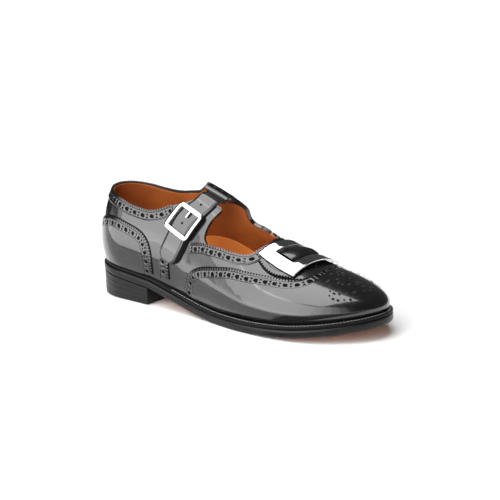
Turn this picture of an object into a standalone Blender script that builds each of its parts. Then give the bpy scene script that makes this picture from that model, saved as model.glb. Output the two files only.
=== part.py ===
# Buckle brogue shoe for the right foot, built round one last.
# Metres. x runs from heel to toe, y to the medial side, z up from the floor.
import bmesh
import bpy
import numpy as np

SHOE = "buckle_shoe"
LENGTH = 0.288          # feather line, heel to toe
HEEL_ROUND = 0.036      # where the heel starts to round off
TOE_ROUND = 0.2208      # where the toe starts to round off
HEEL_POWER = 2.2
TOE_POWER = 2.2
TOE_DROP_POWER = 1.75   # how the toe falls in height

SEAT = 0.0235           # underside of the sole over the back of the heel
BREAST_X = 0.069        # front face of the heel block
BREAST_Z = 0.0161
TREAD_START = 0.162     # the forefoot lies flat on the floor between these two
TREAD_END = 0.1745
TOE_SPRING = 0.0110
HEEL_TAPER = 0.0010

GAP = 0.0003            # between neighbouring pieces
SPREAD = 0.06           # length that one unit of w stands for along the skin
SNAP = 0.0018           # grid points this near a cut edge move onto it
STEEPEST = 0.2          # smallest squared slope that a snap is worked out from
NARROWEST = 0.08        # an unsnapped cut keeps this share of a face's edge at each end
SEAM_X = 0.150          # side seam between the quarters and the vamp
LOOP_STATIONS = 44      # along each side of the sole, the welt and the insole
STRAP_STATIONS = 30
BUCKLE_W = -0.515       # where the instep buckle sits on the strap
SOLE = 0.0069
WELT = 0.0030
FEATHER = SOLE + GAP + WELT + GAP
WELT_INWARD = 0.0075
WALL = 0.0024
INSOLE = 0.0030
OVERLAY = 0.0010
OVERLAY_FOOT = 0.0017   # an overlay ends this far above the welt
TAB_LIFT = 0.0024       # the medial tab lies one layer higher, on the strap

STRAP_THICK = 0.0020
STRAP_HALF = 0.0100
STRAP_GAP = 0.0005
VAMP_TAB = 0.0014
PLATE = 0.0016
BUCKLE_HALF = (0.0168, 0.0148)   # half size along the strap and across it
BUCKLE_BAR = 0.0034
BUCKLE_THICK = 0.0022
PRONG_THICK = 0.0014

LOOKS = (
    ("black_leather", (0.012, 0.012, 0.013), 0.0, 0.22),
    ("sole_leather", (0.020, 0.019, 0.018), 0.0, 0.45),
    ("insole_leather", (0.50, 0.17, 0.05), 0.0, 0.55),
    ("polished_metal", (0.80, 0.80, 0.82), 1.0, 0.12),
)

LAST_COLUMNS = ("x", "lateral", "medial", "centre", "height", "side", "top", "bulge")
LAST_ROWS = (
    (0.000, -0.0277, 0.0290, 0.000, 0.0921, 0.69, 0.55, 0.0040),
    (0.036, -0.0301, 0.0305, 0.000, 0.0946, 0.65, 0.55, 0.0040),
    (0.075, -0.0313, 0.0290, 0.000, 0.0943, 0.59, 0.50, 0.0030),
    (0.105, -0.0330, 0.0275, 0.001, 0.0938, 0.57, 0.42, 0.0026),
    (0.130, -0.0360, 0.0285, 0.002, 0.0898, 0.57, 0.40, 0.0032),
    (0.155, -0.0401, 0.0330, 0.003, 0.0785, 0.56, 0.42, 0.0042),
    (0.180, -0.0436, 0.0400, 0.004, 0.0621, 0.55, 0.46, 0.0048),
    (0.205, -0.0451, 0.0470, 0.005, 0.0497, 0.58, 0.50, 0.0050),
    (0.230, -0.0437, 0.0497, 0.006, 0.0402, 0.61, 0.55, 0.0042),
    (0.255, -0.0393, 0.0506, 0.007, 0.0352, 0.61, 0.60, 0.0042),
    (0.288, -0.0319, 0.0459, 0.008, 0.0290, 0.60, 0.62, 0.0045),
)
MARGIN_COLUMNS = ("x", "lateral", "medial")
MARGIN_ROWS = (
    (-0.01, 0.0025, 0.0025),
    (0.05, 0.0030, 0.0030),
    (0.09, 0.0040, 0.0030),
    (0.13, 0.0055, 0.0030),
    (0.18, 0.0070, 0.0055),
    (0.23, 0.0072, 0.0070),
    (0.30, 0.0070, 0.0070),
)
TOPLINE_COLUMNS = ("x", "lateral", "medial")
TOPLINE_ROWS = (
    (0.000, 0.1005, 0.1005),
    (0.011, 0.1000, 0.1005),
    (0.022, 0.0970, 0.0988),
    (0.034, 0.0930, 0.0968),
    (0.046, 0.0890, 0.0955),
    (0.058, 0.0868, 0.0950),
    (0.068, 0.0860, 0.0955),
    (0.078, 0.0880, 0.0970),
    (0.088, 0.0925, 0.0995),
    (0.097, 0.0965, 0.1030),
)
# Outlines on the last: x in metres, then -1 lateral feather, 0 ridge, 1 medial feather.
OPENING = (
    (0.080, -0.55), (0.087, -0.49), (0.096, -0.42), (0.104, -0.36), (0.110, -0.30),
    (0.116, -0.265), (0.136, -0.25), (0.133, -0.38), (0.130, -0.48), (0.129, -0.55),
    (0.130, -0.605), (0.134, -0.612), (0.148, -0.57), (0.163, -0.52), (0.172, -0.47),
    (0.177, -0.42), (0.181, -0.33), (0.183, -0.20), (0.184, 0.00), (0.181, 0.17),
    (0.171, 0.26), (0.159, 0.34), (0.151, 0.40), (0.1475, 0.40), (0.146, 0.34),
    (0.147, 0.12), (0.136, -0.11), (0.113, -0.12), (0.113, 0.03), (0.105, 0.22),
    (0.097, 0.33), (0.088, 0.41), (0.080, 0.45),
)
WING_REAR = (
    (0.114, -1.00), (0.117, -0.90), (0.120, -0.86), (0.126, -0.81), (0.135, -0.77),
    (0.149, -0.715), (0.169, -0.63), (0.184, -0.58), (0.198, -0.535), (0.217, -0.485),
    (0.227, -0.44), (0.236, -0.34), (0.238, 0.00), (0.236, 0.34), (0.227, 0.42),
    (0.217, 0.455), (0.198, 0.50), (0.184, 0.545), (0.169, 0.60), (0.149, 0.69),
    (0.135, 0.76), (0.126, 0.81), (0.120, 0.86), (0.117, 0.90), (0.114, 1.00),
)
VAMP_TAB_EDGE = (
    (0.187, -0.40), (0.196, -0.445), (0.207, -0.455), (0.219, -0.42), (0.229, -0.38),
    (0.2325, -0.30), (0.2335, 0.00), (0.2325, 0.28), (0.229, 0.35), (0.219, 0.38),
    (0.207, 0.40), (0.196, 0.39), (0.187, 0.34), (0.1865, 0.00),
)
# The counter seen from the side: x and height.
COUNTER_EDGE = (
    (-0.02, 0.0750), (0.017, 0.0745), (0.038, 0.0730), (0.049, 0.0700), (0.060, 0.0655),
    (0.067, 0.0605), (0.0705, 0.0540), (0.0720, 0.0460), (0.0722, 0.00), (-0.02, 0.00),
)
STRAP_PATH = (
    (0.1285, 0.02), (0.1270, -0.05), (0.1250, -0.12), (0.1190, -0.33), (0.1105, -0.46),
    (0.1050, -0.55), (0.1005, -0.67), (0.0955, -0.77), (0.0910, -0.85),
)
PLATE_CORNERS = ((0.186, -0.28), (0.222, -0.335), (0.231, 0.26), (0.199, 0.20))


def columns(names, rows):
    return {name: np.array(column) for name, column in zip(names, zip(*rows))}


LAST = columns(LAST_COLUMNS, LAST_ROWS)
MARGIN = columns(MARGIN_COLUMNS, MARGIN_ROWS)
TOPLINE = columns(TOPLINE_COLUMNS, TOPLINE_ROWS)


def spline(xs, ys, at):
    # natural cubic spline through the table values
    n = len(xs)
    h = np.diff(xs)
    m = np.eye(n)
    r = np.zeros(n)
    for i in range(1, n - 1):
        m[i, i - 1:i + 2] = h[i - 1], 2 * (h[i - 1] + h[i]), h[i]
        r[i] = 6 * ((ys[i + 1] - ys[i]) / h[i] - (ys[i] - ys[i - 1]) / h[i - 1])
    c = np.linalg.solve(m, r)
    at = np.clip(np.asarray(at, float), xs[0], xs[-1])
    k = np.clip(np.searchsorted(xs, at) - 1, 0, n - 2)
    a, b, g = at - xs[k], xs[k + 1] - at, h[k]
    curve = (c[k] * b ** 3 + c[k + 1] * a ** 3) / (6 * g)
    return curve + (ys[k] / g - c[k] * g / 6) * b + (ys[k + 1] / g - c[k + 1] * g / 6) * a


def last(column, x):
    return spline(LAST["x"], LAST[column], x)


def smooth(t):
    t = np.clip(t, 0, 1)
    return t * t * (3 - 2 * t)


def bottom(x):
    # underside of the sole: heel seat, arch, flat tread, toe spring
    x = np.asarray(x, float)
    slope = (BREAST_Z - SEAT) / BREAST_X
    span = TREAD_START - BREAST_X
    s = np.clip((x - BREAST_X) / span, 0, 1)
    arch = (2 * s ** 3 - 3 * s ** 2 + 1) * BREAST_Z
    arch += (s ** 3 - 2 * s ** 2 + s) * span * slope * 2.2
    toe = TOE_SPRING * np.clip((x - TREAD_END) / (LENGTH - TREAD_END), 0, None) ** 1.9
    z = np.where(x > BREAST_X, arch, SEAT + slope * x)
    return np.where(x > TREAD_END, toe, z)


def ends(x):
    heel = np.clip((HEEL_ROUND - x) / HEEL_ROUND, 0, 1)
    toe = np.clip((x - TOE_ROUND) / (LENGTH - TOE_ROUND), 0, 1)
    wide = np.sqrt(np.clip(1 - heel ** HEEL_POWER - toe ** TOE_POWER, 0, 1))
    high = np.sqrt(np.clip(1 - heel ** HEEL_POWER - toe ** TOE_DROP_POWER, 0, 1))
    return wide, high, heel, toe


def last_surface(x, w):
    # point on the outside of the upper; w is -1 lateral, 0 ridge, 1 medial
    x, w = np.broadcast_arrays(np.asarray(x, float), np.asarray(w, float))
    wide, high, heel, toe = ends(x)
    centre = last("centre", x)
    width = np.where(w < 0, centre - last("lateral", x), last("medial", x) - centre)
    t = 1 - np.abs(w)
    out = (1 - t) ** 3 + 3 * (1 - t) ** 2 * t + 3 * (1 - t) * t ** 2 * last("top", x)
    up = 3 * (1 - t) ** 2 * t * last("side", x) + 3 * (1 - t) * t ** 2 + t ** 3
    up = up * high
    y = centre + np.sign(w) * out * width * wide
    z = bottom(x) + FEATHER + last("height", x) * up
    gx = 2 * toe ** (TOE_POWER - 1) / (LENGTH - TOE_ROUND)
    gx = gx - 2 * heel ** (HEEL_POWER - 1) / HEEL_ROUND
    gy = 2 * np.sign(w) * out * wide / width
    g = np.hypot(gx, gy) + 1e-6
    push = last("bulge", x) * 6.75 * up * (1 - up) ** 2
    return np.stack([x + push * gx / g, y + push * gy / g, z], -1)


def last_normal(x, w):
    x, w = np.broadcast_arrays(np.asarray(x, float), np.asarray(w, float))
    x = np.clip(x, 0.0003, LENGTH - 0.0003)
    w = np.clip(w, -0.999, 0.999)
    dx = last_surface(x + 0.0002, w) - last_surface(x - 0.0002, w)
    dw = last_surface(x, w + 0.001) - last_surface(x, w - 0.001)
    n = np.cross(dx, dw)
    return n / np.linalg.norm(n, axis=-1, keepdims=True)


def tab_lift(x, w):
    fade = smooth((0.40 - w) / 0.28) * smooth((w + 0.22) / 0.04)
    return TAB_LIFT * fade * smooth((0.166 - x) / 0.014) * smooth((x - 0.085) / 0.02)


def feather_loop(n):
    # plan of the feather line from the heel by the lateral side, with outward normals
    x = LENGTH * (1 - np.cos(np.pi * np.linspace(0, 1, n))) / 2
    k = int(np.argmin(np.abs(x - TREAD_START)))
    x[k], x[k + 1] = TREAD_START + 0.0015, TREAD_END - 0.0015
    wide, _, _, _ = ends(x)
    centre = last("centre", x)
    lateral = np.stack([x, centre + (last("lateral", x) - centre) * wide], -1)
    medial = np.stack([x, centre + (last("medial", x) - centre) * wide], -1)[::-1]
    loop = np.concatenate([lateral, medial[1:-1]])
    d = np.roll(loop, -1, 0) - np.roll(loop, 1, 0)
    normal = np.stack([d[:, 1], -d[:, 0]], -1)
    return loop, normal / np.linalg.norm(normal, axis=1, keepdims=True)


def sole_loop(n, inset=0.0):
    loop, normal = feather_loop(n)
    x = loop[:, 0]
    side = np.clip((loop[:, 1] - last("centre", x)) / 0.02 + 0.5, 0, 1)
    out = np.interp(x, MARGIN["x"], MARGIN["lateral"]) * (1 - side)
    out = out + np.interp(x, MARGIN["x"], MARGIN["medial"]) * side
    return loop + normal * (out - inset)[:, None]


def inward_loop(n, inset):
    loop, normal = feather_loop(n)
    return loop - normal * inset


def polygon_distance(points, polygon, scale):
    # signed distance to a closed outline, positive inside
    p = points * scale
    q = np.asarray(polygon, float) * scale
    a, b = q, np.roll(q, -1, 0)
    e = b - a
    rel = p[:, None] - a
    t = np.clip((rel * e).sum(-1) / (e * e).sum(-1), 0, 1)
    dist = np.sqrt(((rel - t[..., None] * e) ** 2).sum(-1)).min(1)
    cross = (a[:, 1] > p[:, None, 1]) != (b[:, 1] > p[:, None, 1])
    rise = np.where(np.abs(e[:, 1]) < 1e-12, 1e-12, e[:, 1])
    at = a[:, 0] + (p[:, None, 1] - a[:, 1]) * e[:, 0] / rise
    inside = (cross & (p[:, None, 0] < at)).sum(1) % 2 == 1
    return np.where(inside, dist, -dist)


def opening(points):
    side = np.where(points[:, 1] < 0,
                    np.interp(points[:, 0], TOPLINE["x"], TOPLINE["lateral"]),
                    np.interp(points[:, 0], TOPLINE["x"], TOPLINE["medial"]))
    height = last_surface(points[:, 0], points[:, 1])[:, 2]
    collar = np.minimum(height - side, 0.097 - points[:, 0])
    return np.maximum(collar, polygon_distance(points, OPENING, np.array([1.0, SPREAD])))


def above_welt(points):
    height = last_surface(points[:, 0], points[:, 1])[:, 2]
    return height - bottom(points[:, 0]) - FEATHER - OVERLAY_FOOT


def wing_region(points):
    edge = [(0.31, -1.2), (0.110, -1.2)] + list(WING_REAR) + [(0.110, 1.2), (0.31, 1.2)]
    inside = polygon_distance(points, edge, np.array([1.0, SPREAD]))
    return np.minimum(inside, above_welt(points))


def vamp_tab_region(points):
    return polygon_distance(points, VAMP_TAB_EDGE, np.array([1.0, SPREAD]))


def counter_region(points):
    place = last_surface(points[:, 0], points[:, 1])
    inside = polygon_distance(place[:, (0, 2)], COUNTER_EDGE, np.array([1.0, 1.0]))
    return np.minimum(inside, above_welt(points))


def last_grid():
    # rows close together at the heel and toe, where the last turns round
    u = np.linspace(0, 1, 46)
    rows = LENGTH * (u - 0.84 * np.sin(2 * np.pi * u) / (2 * np.pi))
    first = np.array([0.0, 0.0005, 0.0018, 0.0038, 0.0064])
    rows = np.concatenate([first, rows[(rows > 0.0085) & (rows < LENGTH - 0.0072)],
                           LENGTH - first[::-1]])
    cols = np.linspace(-1, 1, 29)
    x, w = np.meshgrid(rows, cols, indexing="ij")
    points = np.stack([x.ravel(), w.ravel()], -1)
    m, n = x.shape
    k = np.arange(m * n).reshape(m, n)
    a, b, c, d = k[:-1, :-1], k[1:, :-1], k[1:, 1:], k[:-1, 1:]
    left = np.concatenate([np.stack([a, b, c], -1).reshape(-1, 3),
                           np.stack([a, c, d], -1).reshape(-1, 3)])
    return points, left


def cut_sheet(region, snap):
    # the part of the last where region is positive: points in x and w, places, normals, faces.
    # With snap, grid points near the edge move onto it, so that the edge runs clean. Without
    # it, new points lie on the flat faces, so that an overlay runs level with the upper.
    points, faces = last_grid()
    value = region(points)
    step = np.array([2e-4, 2e-3])
    slope = np.stack([(region(points + step * axis) - region(points - step * axis)) / 2
                      for axis in np.eye(2)], -1) / step
    metric = np.array([1.0, 1 / SPREAD])
    slope = slope * metric
    fit = value[:, None] * slope / np.maximum((slope ** 2).sum(-1), STEEPEST)[:, None]
    inner = (np.abs(points[:, 1]) < 0.999) & (points[:, 0] > 1e-6) & (points[:, 0] < LENGTH - 1e-6)
    near = (np.abs(value) < SNAP) & inner & snap
    moved = points - fit * metric
    points = np.where(near[:, None], moved, points)
    value = np.where(near, 0.0, np.where(np.abs(value) < 1e-6, 1e-6, value))
    place = last_surface(points[:, 0], points[:, 1])
    normal = last_normal(points[:, 0], points[:, 1])
    rows = [np.concatenate([points, place, normal], -1)]
    made = {}
    kept = []
    centre = region(points[np.array(faces)].mean(1))

    def between(i, j):
        i, j = min(i, j), max(i, j)
        if (i, j) not in made:
            t = value[i] / (value[i] - value[j])
            made[(i, j)] = len(points) + len(made)
            t = t if snap else min(max(t, NARROWEST), 1 - NARROWEST)
            rows.append((rows[0][i] * (1 - t) + rows[0][j] * t)[None])
        return made[(i, j)]

    for face, middle in zip(faces, centre):
        level = value[face]
        if (level < 0).any() and not (level > 0).any() or (level == 0).all() and middle < 0:
            continue
        ring = []
        for i, j in zip(face, np.roll(face, -1)):
            if value[i] >= 0:
                ring.append(i)
            if value[i] * value[j] < 0:
                ring.append(between(i, j))
        for p, q in zip(ring[1:-1], ring[2:]):
            kept.append((ring[0], p, q))
    table = np.concatenate(rows)
    points, place, normal = table[:, :2], table[:, 2:5], table[:, 5:]
    if snap:
        place = last_surface(points[:, 0], points[:, 1])
        normal = last_normal(points[:, 0], points[:, 1])
    return points, place, normal, kept


def add_sheet(name, points, faces, thick, inward, origin, look, group, parent):
    # an open sheet, made solid by Solidify on the side that its faces point to, or inward
    middle = (points.min(0) + points.max(0)) / 2
    mesh = bpy.data.meshes.new(name)
    mesh.from_pydata([tuple(p) for p in points - middle], [], [tuple(map(int, f)) for f in faces])
    tidy(mesh)
    thing = add_object(name, mesh, middle - origin, look, group, parent)
    wall = thing.modifiers.new("Solidify", "SOLIDIFY")
    wall.thickness = thick
    wall.offset = -1.0 if inward else 1.0
    return thing


def add_object(name, mesh, location, look, group, parent):
    mesh.materials.append(look)
    thing = bpy.data.objects.new(name, mesh)
    thing.location = location
    thing.parent = parent
    group.objects.link(thing)
    return thing


def tidy(mesh):
    work = bmesh.new()
    work.from_mesh(mesh)
    bmesh.ops.remove_doubles(work, verts=work.verts, dist=2e-6)
    loose = [v for v in work.verts if not v.link_faces]
    bmesh.ops.delete(work, geom=loose, context="VERTS")
    work.to_mesh(mesh)
    work.free()


def strip_sheet(loop, z):
    # sheet inside one closed outline, in strips that run from side to side
    n = len(loop)
    points = np.column_stack([loop, z])
    faces = []
    for i in range(n // 2):
        a, b, c, d = i, i + 1, n - i - 1, (n - i) % n
        ring = [a, b] + [k for k in (c, d) if k not in (a, b)]
        for p, q in zip(ring[1:-1], ring[2:]):
            faces.append([ring[0], p, q])
    return points, faces


def ring_sheet(outer, inner, height):
    n = len(outer)
    points = np.concatenate([np.column_stack([outer, height(outer[:, 0])]),
                             np.column_stack([inner, height(inner[:, 0])])])
    faces = []
    for i in range(n):
        j = (i + 1) % n
        faces += [[i, j, j + n], [i, j + n, i + n]]
    return points, faces


def add_heel(name, origin, look, group, parent):
    # loft from the flat foot of the heel to the sloping seat under the sole
    n = LOOP_STATIONS
    loop = sole_loop(n, 0.0004)
    inside = [i for i in range(len(loop)) if loop[i, 0] < BREAST_X - 0.001]
    order = [i for i in inside if i >= n] + [i for i in inside if i < n]
    medial = np.interp(BREAST_X, loop[n:][::-1, 0], loop[n:][::-1, 1])
    lateral = np.interp(BREAST_X, loop[:n, 0], loop[:n, 1])
    rim = np.concatenate([[[BREAST_X, medial]], loop[order], [[BREAST_X, lateral]]])
    taper = HEEL_TAPER * (1 - rim[:, 0] / BREAST_X)
    foot = rim + np.stack([taper, -np.sign(rim[:, 1]) * HEEL_TAPER * 0.8], -1)
    count = len(rim)
    middle = np.array([BREAST_X / 2, 0.0, 0.0])
    points = np.concatenate([np.column_stack([foot, np.zeros(count)]),
                             np.column_stack([rim, bottom(rim[:, 0]) - GAP])])
    faces = [list(range(count)), list(range(count, 2 * count))[::-1]]
    for i in range(count):
        j = (i + 1) % count
        faces.append([j, i, i + count, j + count])
    mesh = bpy.data.meshes.new(name)
    mesh.from_pydata([tuple(p) for p in points - middle], [], faces)
    work = bmesh.new()
    work.from_mesh(mesh)
    bmesh.ops.recalc_face_normals(work, faces=work.faces)
    work.to_mesh(mesh)
    work.free()
    return add_object(name, mesh, middle - origin, look, group, parent)


def step_on_last(x, w, across):
    # move a point over the last by a short vector given in space
    dx = (last_surface(x + 2e-4, w) - last_surface(x - 2e-4, w)) / 4e-4
    dw = (last_surface(x, w + 1e-3) - last_surface(x, w - 1e-3)) / 2e-3
    m = np.array([[dx @ dx, dx @ dw], [dx @ dw, dw @ dw]])
    a, b = np.linalg.solve(m, np.array([dx @ across, dw @ across]))
    return x + a, w + b


def walk(x, w, direction, length):
    # walk over the last in short steps, keeping one direction
    for _ in range(4):
        n = last_normal(x, w)
        flat = direction - n * (direction @ n)
        flat = flat / np.linalg.norm(flat) * length / 4
        x, w = step_on_last(x, w, flat)
    return x, w


def strap_centre(count):
    path = np.array(STRAP_PATH)
    at = np.linspace(0, 1, 200)
    grid = np.linspace(0, 1, len(path))
    fine = np.stack([spline(grid, path[:, 0], at), spline(grid, path[:, 1], at)], -1)
    place = last_surface(fine[:, 0], fine[:, 1])
    run = np.concatenate([[0], np.cumsum(np.linalg.norm(np.diff(place, axis=0), axis=1))])
    want = np.linspace(0, run[-1], count)
    centre = np.stack([np.interp(want, run, fine[:, 0]), np.interp(want, run, fine[:, 1])], -1)
    return centre, want


def strap_level(w):
    # underside of the strap above the last: on the quarter, then below the tab
    return STRAP_GAP - (STRAP_THICK + STRAP_GAP + 2 * GAP) * smooth((w + 0.235) / 0.105)


def across_strap(centre, k):
    place = last_surface(centre[:, 0], centre[:, 1])
    a, b = max(k - 1, 0), min(k + 1, len(centre) - 1)
    along = place[b] - place[a]
    across = np.cross(last_normal(*centre[k]), along / np.linalg.norm(along))
    return across, along / np.linalg.norm(along)


def instep_strap():
    centre, run = strap_centre(STRAP_STATIONS)
    left = run[-1] - run
    half = STRAP_HALF - 0.0045 * np.clip(1 - left / 0.008, 0, 1) ** 1.6
    spots = []
    for k, (x, w) in enumerate(centre):
        across, _ = across_strap(centre, k)
        for t in np.linspace(-1, 1, 5):
            spots.append(walk(x, w, across * np.sign(t or 1), abs(t) * half[k]))
    spots = np.array(spots)
    place = last_surface(spots[:, 0], spots[:, 1])
    normal = last_normal(spots[:, 0], spots[:, 1])
    level = strap_level(spots[:, 1])[:, None]
    faces = []
    for i in range(STRAP_STATIONS - 1):
        for j in range(4):
            a = i * 5 + j
            faces += [[a, a + 5, a + 6], [a, a + 6, a + 1]]
    return place + normal * level, faces


def frame_on_last(x, w, along, across, size, bar, level):
    # rounded square ring that follows the last; size is half length and half width
    corner = 0.0035
    n = 32
    angle = np.linspace(0, 2 * np.pi, n, endpoint=False) + np.pi / n
    spots = []
    for a in angle:
        for inset in (0.0, bar):
            c, s = np.cos(a), np.sin(a)
            h, v = size[0] - inset, size[1] - inset
            r = max(corner - inset, 0.0006)
            k = min(h / max(abs(c), 1e-9), v / max(abs(s), 1e-9))
            u, t = c * k, s * k
            du, dt = abs(u) - (h - r), abs(t) - (v - r)
            if du > 0 and dt > 0:
                scale = r / max(np.hypot(du, dt), 1e-9)
                u = np.sign(u) * (h - r + du * scale)
                t = np.sign(t) * (v - r + dt * scale)
            direction = along * u + across * t
            spots.append(walk(x, w, direction, np.hypot(u, t)))
    spots = np.array(spots)
    place = last_surface(spots[:, 0], spots[:, 1])
    normal = last_normal(spots[:, 0], spots[:, 1])
    faces = []
    for i in range(n):
        j = (i + 1) % n
        a, b, c, d = 2 * i, 2 * j, 2 * j + 1, 2 * i + 1
        faces += [[a, b, c], [a, c, d]]
    return place + normal * level, faces


def buckle_spot():
    centre, _ = strap_centre(2 * STRAP_STATIONS)
    k = int(np.argmin(np.abs(centre[:, 1] - BUCKLE_W)))
    across, along = across_strap(centre, k)
    return centre[k], along, across


def instep_buckle():
    (x, w), along, across = buckle_spot()
    return frame_on_last(x, w, along, across, BUCKLE_HALF, BUCKLE_BAR, STRAP_THICK + 3 * GAP)


def buckle_prong():
    (x, w), along, across = buckle_spot()
    spots = []
    for t in (-0.0128, -0.0090, -0.0045, 0.0005):
        for s in (-0.0011, 0.0, 0.0011):
            spots.append(walk(x, w, along * t + across * s, np.hypot(t, s)))
    spots = np.array(spots)
    place = last_surface(spots[:, 0], spots[:, 1])
    normal = last_normal(spots[:, 0], spots[:, 1])
    faces = []
    for i in range(3):
        for j in range(2):
            a = i * 3 + j
            faces += [[a, a + 3, a + 4], [a, a + 4, a + 1]]
    return place + normal * (STRAP_THICK + 3 * GAP), faces


def vamp_buckle():
    a, b, c, d = (np.array(p) for p in PLATE_CORNERS)
    long = (0.0, 0.06, 0.19, 0.31, 0.43, 0.56, 0.69, 0.81, 0.94, 1.0)
    short = (0.0, 0.08, 0.24, 0.41, 0.59, 0.76, 0.92, 1.0)
    spots = []
    for s in long:
        for t in short:
            s2, t2 = s, t
            if s in (0.0, 1.0) and t in (0.0, 1.0):
                s2, t2 = abs(s - 0.012), abs(t - 0.018)
            spots.append((a * (1 - s2) + d * s2) * (1 - t2) + (b * (1 - s2) + c * s2) * t2)
    spots = np.array(spots)
    place = last_surface(spots[:, 0], spots[:, 1])
    normal = last_normal(spots[:, 0], spots[:, 1])
    faces = []
    n = len(short)
    for i in range(len(long) - 1):
        for j in range(n - 1):
            if 0 < i - 1 < len(long) - 4 and 1 < j < n - 3:
                continue
            k = i * n + j
            faces += [[k, k + 1, k + n + 1], [k, k + n + 1, k + n]]
    return place + normal * (GAP + VAMP_TAB + 3 * GAP), faces


def quarters_region(points):
    return np.minimum(-opening(points), SEAM_X - GAP / 2 - points[:, 0])


def vamp_region(points):
    return np.minimum(-opening(points), points[:, 0] - SEAM_X - GAP / 2)


def upper_sheet(region):
    points, place, normal, faces = cut_sheet(region, True)
    return place + normal * tab_lift(points[:, 0], points[:, 1])[:, None], faces


def overlay_sheet(region):
    points, place, normal, faces = cut_sheet(region, False)
    return place + normal * GAP, faces


def material(name, colour, metal, rough):
    made = bpy.data.materials.new(name)
    made.use_nodes = True
    node = made.node_tree.nodes["Principled BSDF"]
    node.inputs["Base Color"].default_value = (*colour, 1.0)
    node.inputs["Metallic"].default_value = metal
    node.inputs["Roughness"].default_value = rough
    made.diffuse_color = (*colour, 1.0)
    return made


def sheets():
    # name, sheet, thickness, whether the wall grows inward
    outer = sole_loop(LOOP_STATIONS)
    inside = inward_loop(LOOP_STATIONS, WALL + 3 * GAP)
    rim = sole_loop(LOOP_STATIONS, GAP)
    return (
        ("outsole", strip_sheet(outer, bottom(outer[:, 0])), SOLE, False, "sole_leather"),
        ("welt", ring_sheet(rim, inward_loop(LOOP_STATIONS, WELT_INWARD),
                            lambda x: bottom(x) + SOLE + GAP), WELT, False, "sole_leather"),
        ("insole", strip_sheet(inside, bottom(inside[:, 0]) + FEATHER), INSOLE, False,
         "insole_leather"),
        ("quarters", upper_sheet(quarters_region), WALL, True, "black_leather"),
        ("vamp", upper_sheet(vamp_region), WALL, True, "black_leather"),
        ("wing_cap", overlay_sheet(wing_region), OVERLAY, False, "black_leather"),
        ("heel_counter", overlay_sheet(counter_region), OVERLAY, False, "black_leather"),
        ("instep_strap", instep_strap(), STRAP_THICK, False, "black_leather"),
        ("instep_buckle", instep_buckle(), BUCKLE_THICK, False, "polished_metal"),
        ("buckle_prong", buckle_prong(), PRONG_THICK, False, "polished_metal"),
        ("vamp_tab", overlay_sheet(vamp_tab_region), VAMP_TAB, False, "black_leather"),
        ("vamp_buckle", vamp_buckle(), PLATE, False, "polished_metal"),
    )


def main():
    for thing in list(bpy.data.objects):
        bpy.data.objects.remove(thing, do_unlink=True)
    group = bpy.data.collections.new(SHOE)
    bpy.context.scene.collection.children.link(group)
    root = bpy.data.objects.new(SHOE + "_origin", None)
    group.objects.link(root)
    looks = {name: material(name, colour, metal, rough)
             for name, colour, metal, rough in LOOKS}
    edge = sole_loop(LOOP_STATIONS)
    middle = (edge.min(0) + edge.max(0)) / 2
    origin = np.array([middle[0], middle[1], 0.0])
    add_heel("heel", origin, looks["sole_leather"], group, root)
    for name, (points, faces), thick, inward, look in sheets():
        add_sheet(name, points, faces, thick, inward, origin, looks[look], group, root)


main()
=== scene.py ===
# Buckle brogue shoe for the right foot: the looks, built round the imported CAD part.
# Metres. x runs from heel to toe, y to the medial side, z up from the floor.
import math

import bmesh
import bpy
import numpy as np
from mathutils import Matrix, Vector


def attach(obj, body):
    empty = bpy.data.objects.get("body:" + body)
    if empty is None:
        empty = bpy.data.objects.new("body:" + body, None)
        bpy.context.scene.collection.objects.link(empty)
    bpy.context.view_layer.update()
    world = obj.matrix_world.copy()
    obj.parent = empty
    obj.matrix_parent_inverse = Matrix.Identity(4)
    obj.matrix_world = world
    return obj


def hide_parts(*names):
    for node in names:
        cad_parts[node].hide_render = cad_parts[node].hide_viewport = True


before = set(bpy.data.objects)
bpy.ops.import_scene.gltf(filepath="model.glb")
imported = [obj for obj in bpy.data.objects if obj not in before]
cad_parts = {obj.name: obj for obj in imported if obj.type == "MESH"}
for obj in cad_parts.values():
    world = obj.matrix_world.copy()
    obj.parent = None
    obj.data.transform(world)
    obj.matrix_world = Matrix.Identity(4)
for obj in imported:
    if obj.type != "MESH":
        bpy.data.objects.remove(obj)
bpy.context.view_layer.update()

# The last, as part.py has it. A place on it is (x, w): w is -1 at the lateral feather line,
# 0 on the ridge and 1 at the medial feather line.
last = {
    "length": 0.288, "heelRound": 0.036, "toeRound": 0.2208, "heelPower": 2.2, "toePower": 2.2,
    "toeDropPower": 1.75, "seat": 0.0235, "breastX": 0.069, "breastZ": 0.0161,
    "treadStart": 0.162, "treadEnd": 0.1745, "toeSpring": 0.0110, "feather": 0.0105,
    "origin": (0.1462169, 0.00206717, 0.0),
    "rows": 360, "columns": 240, "fairing": 3.0, "spread": 0.06,
}
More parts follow.
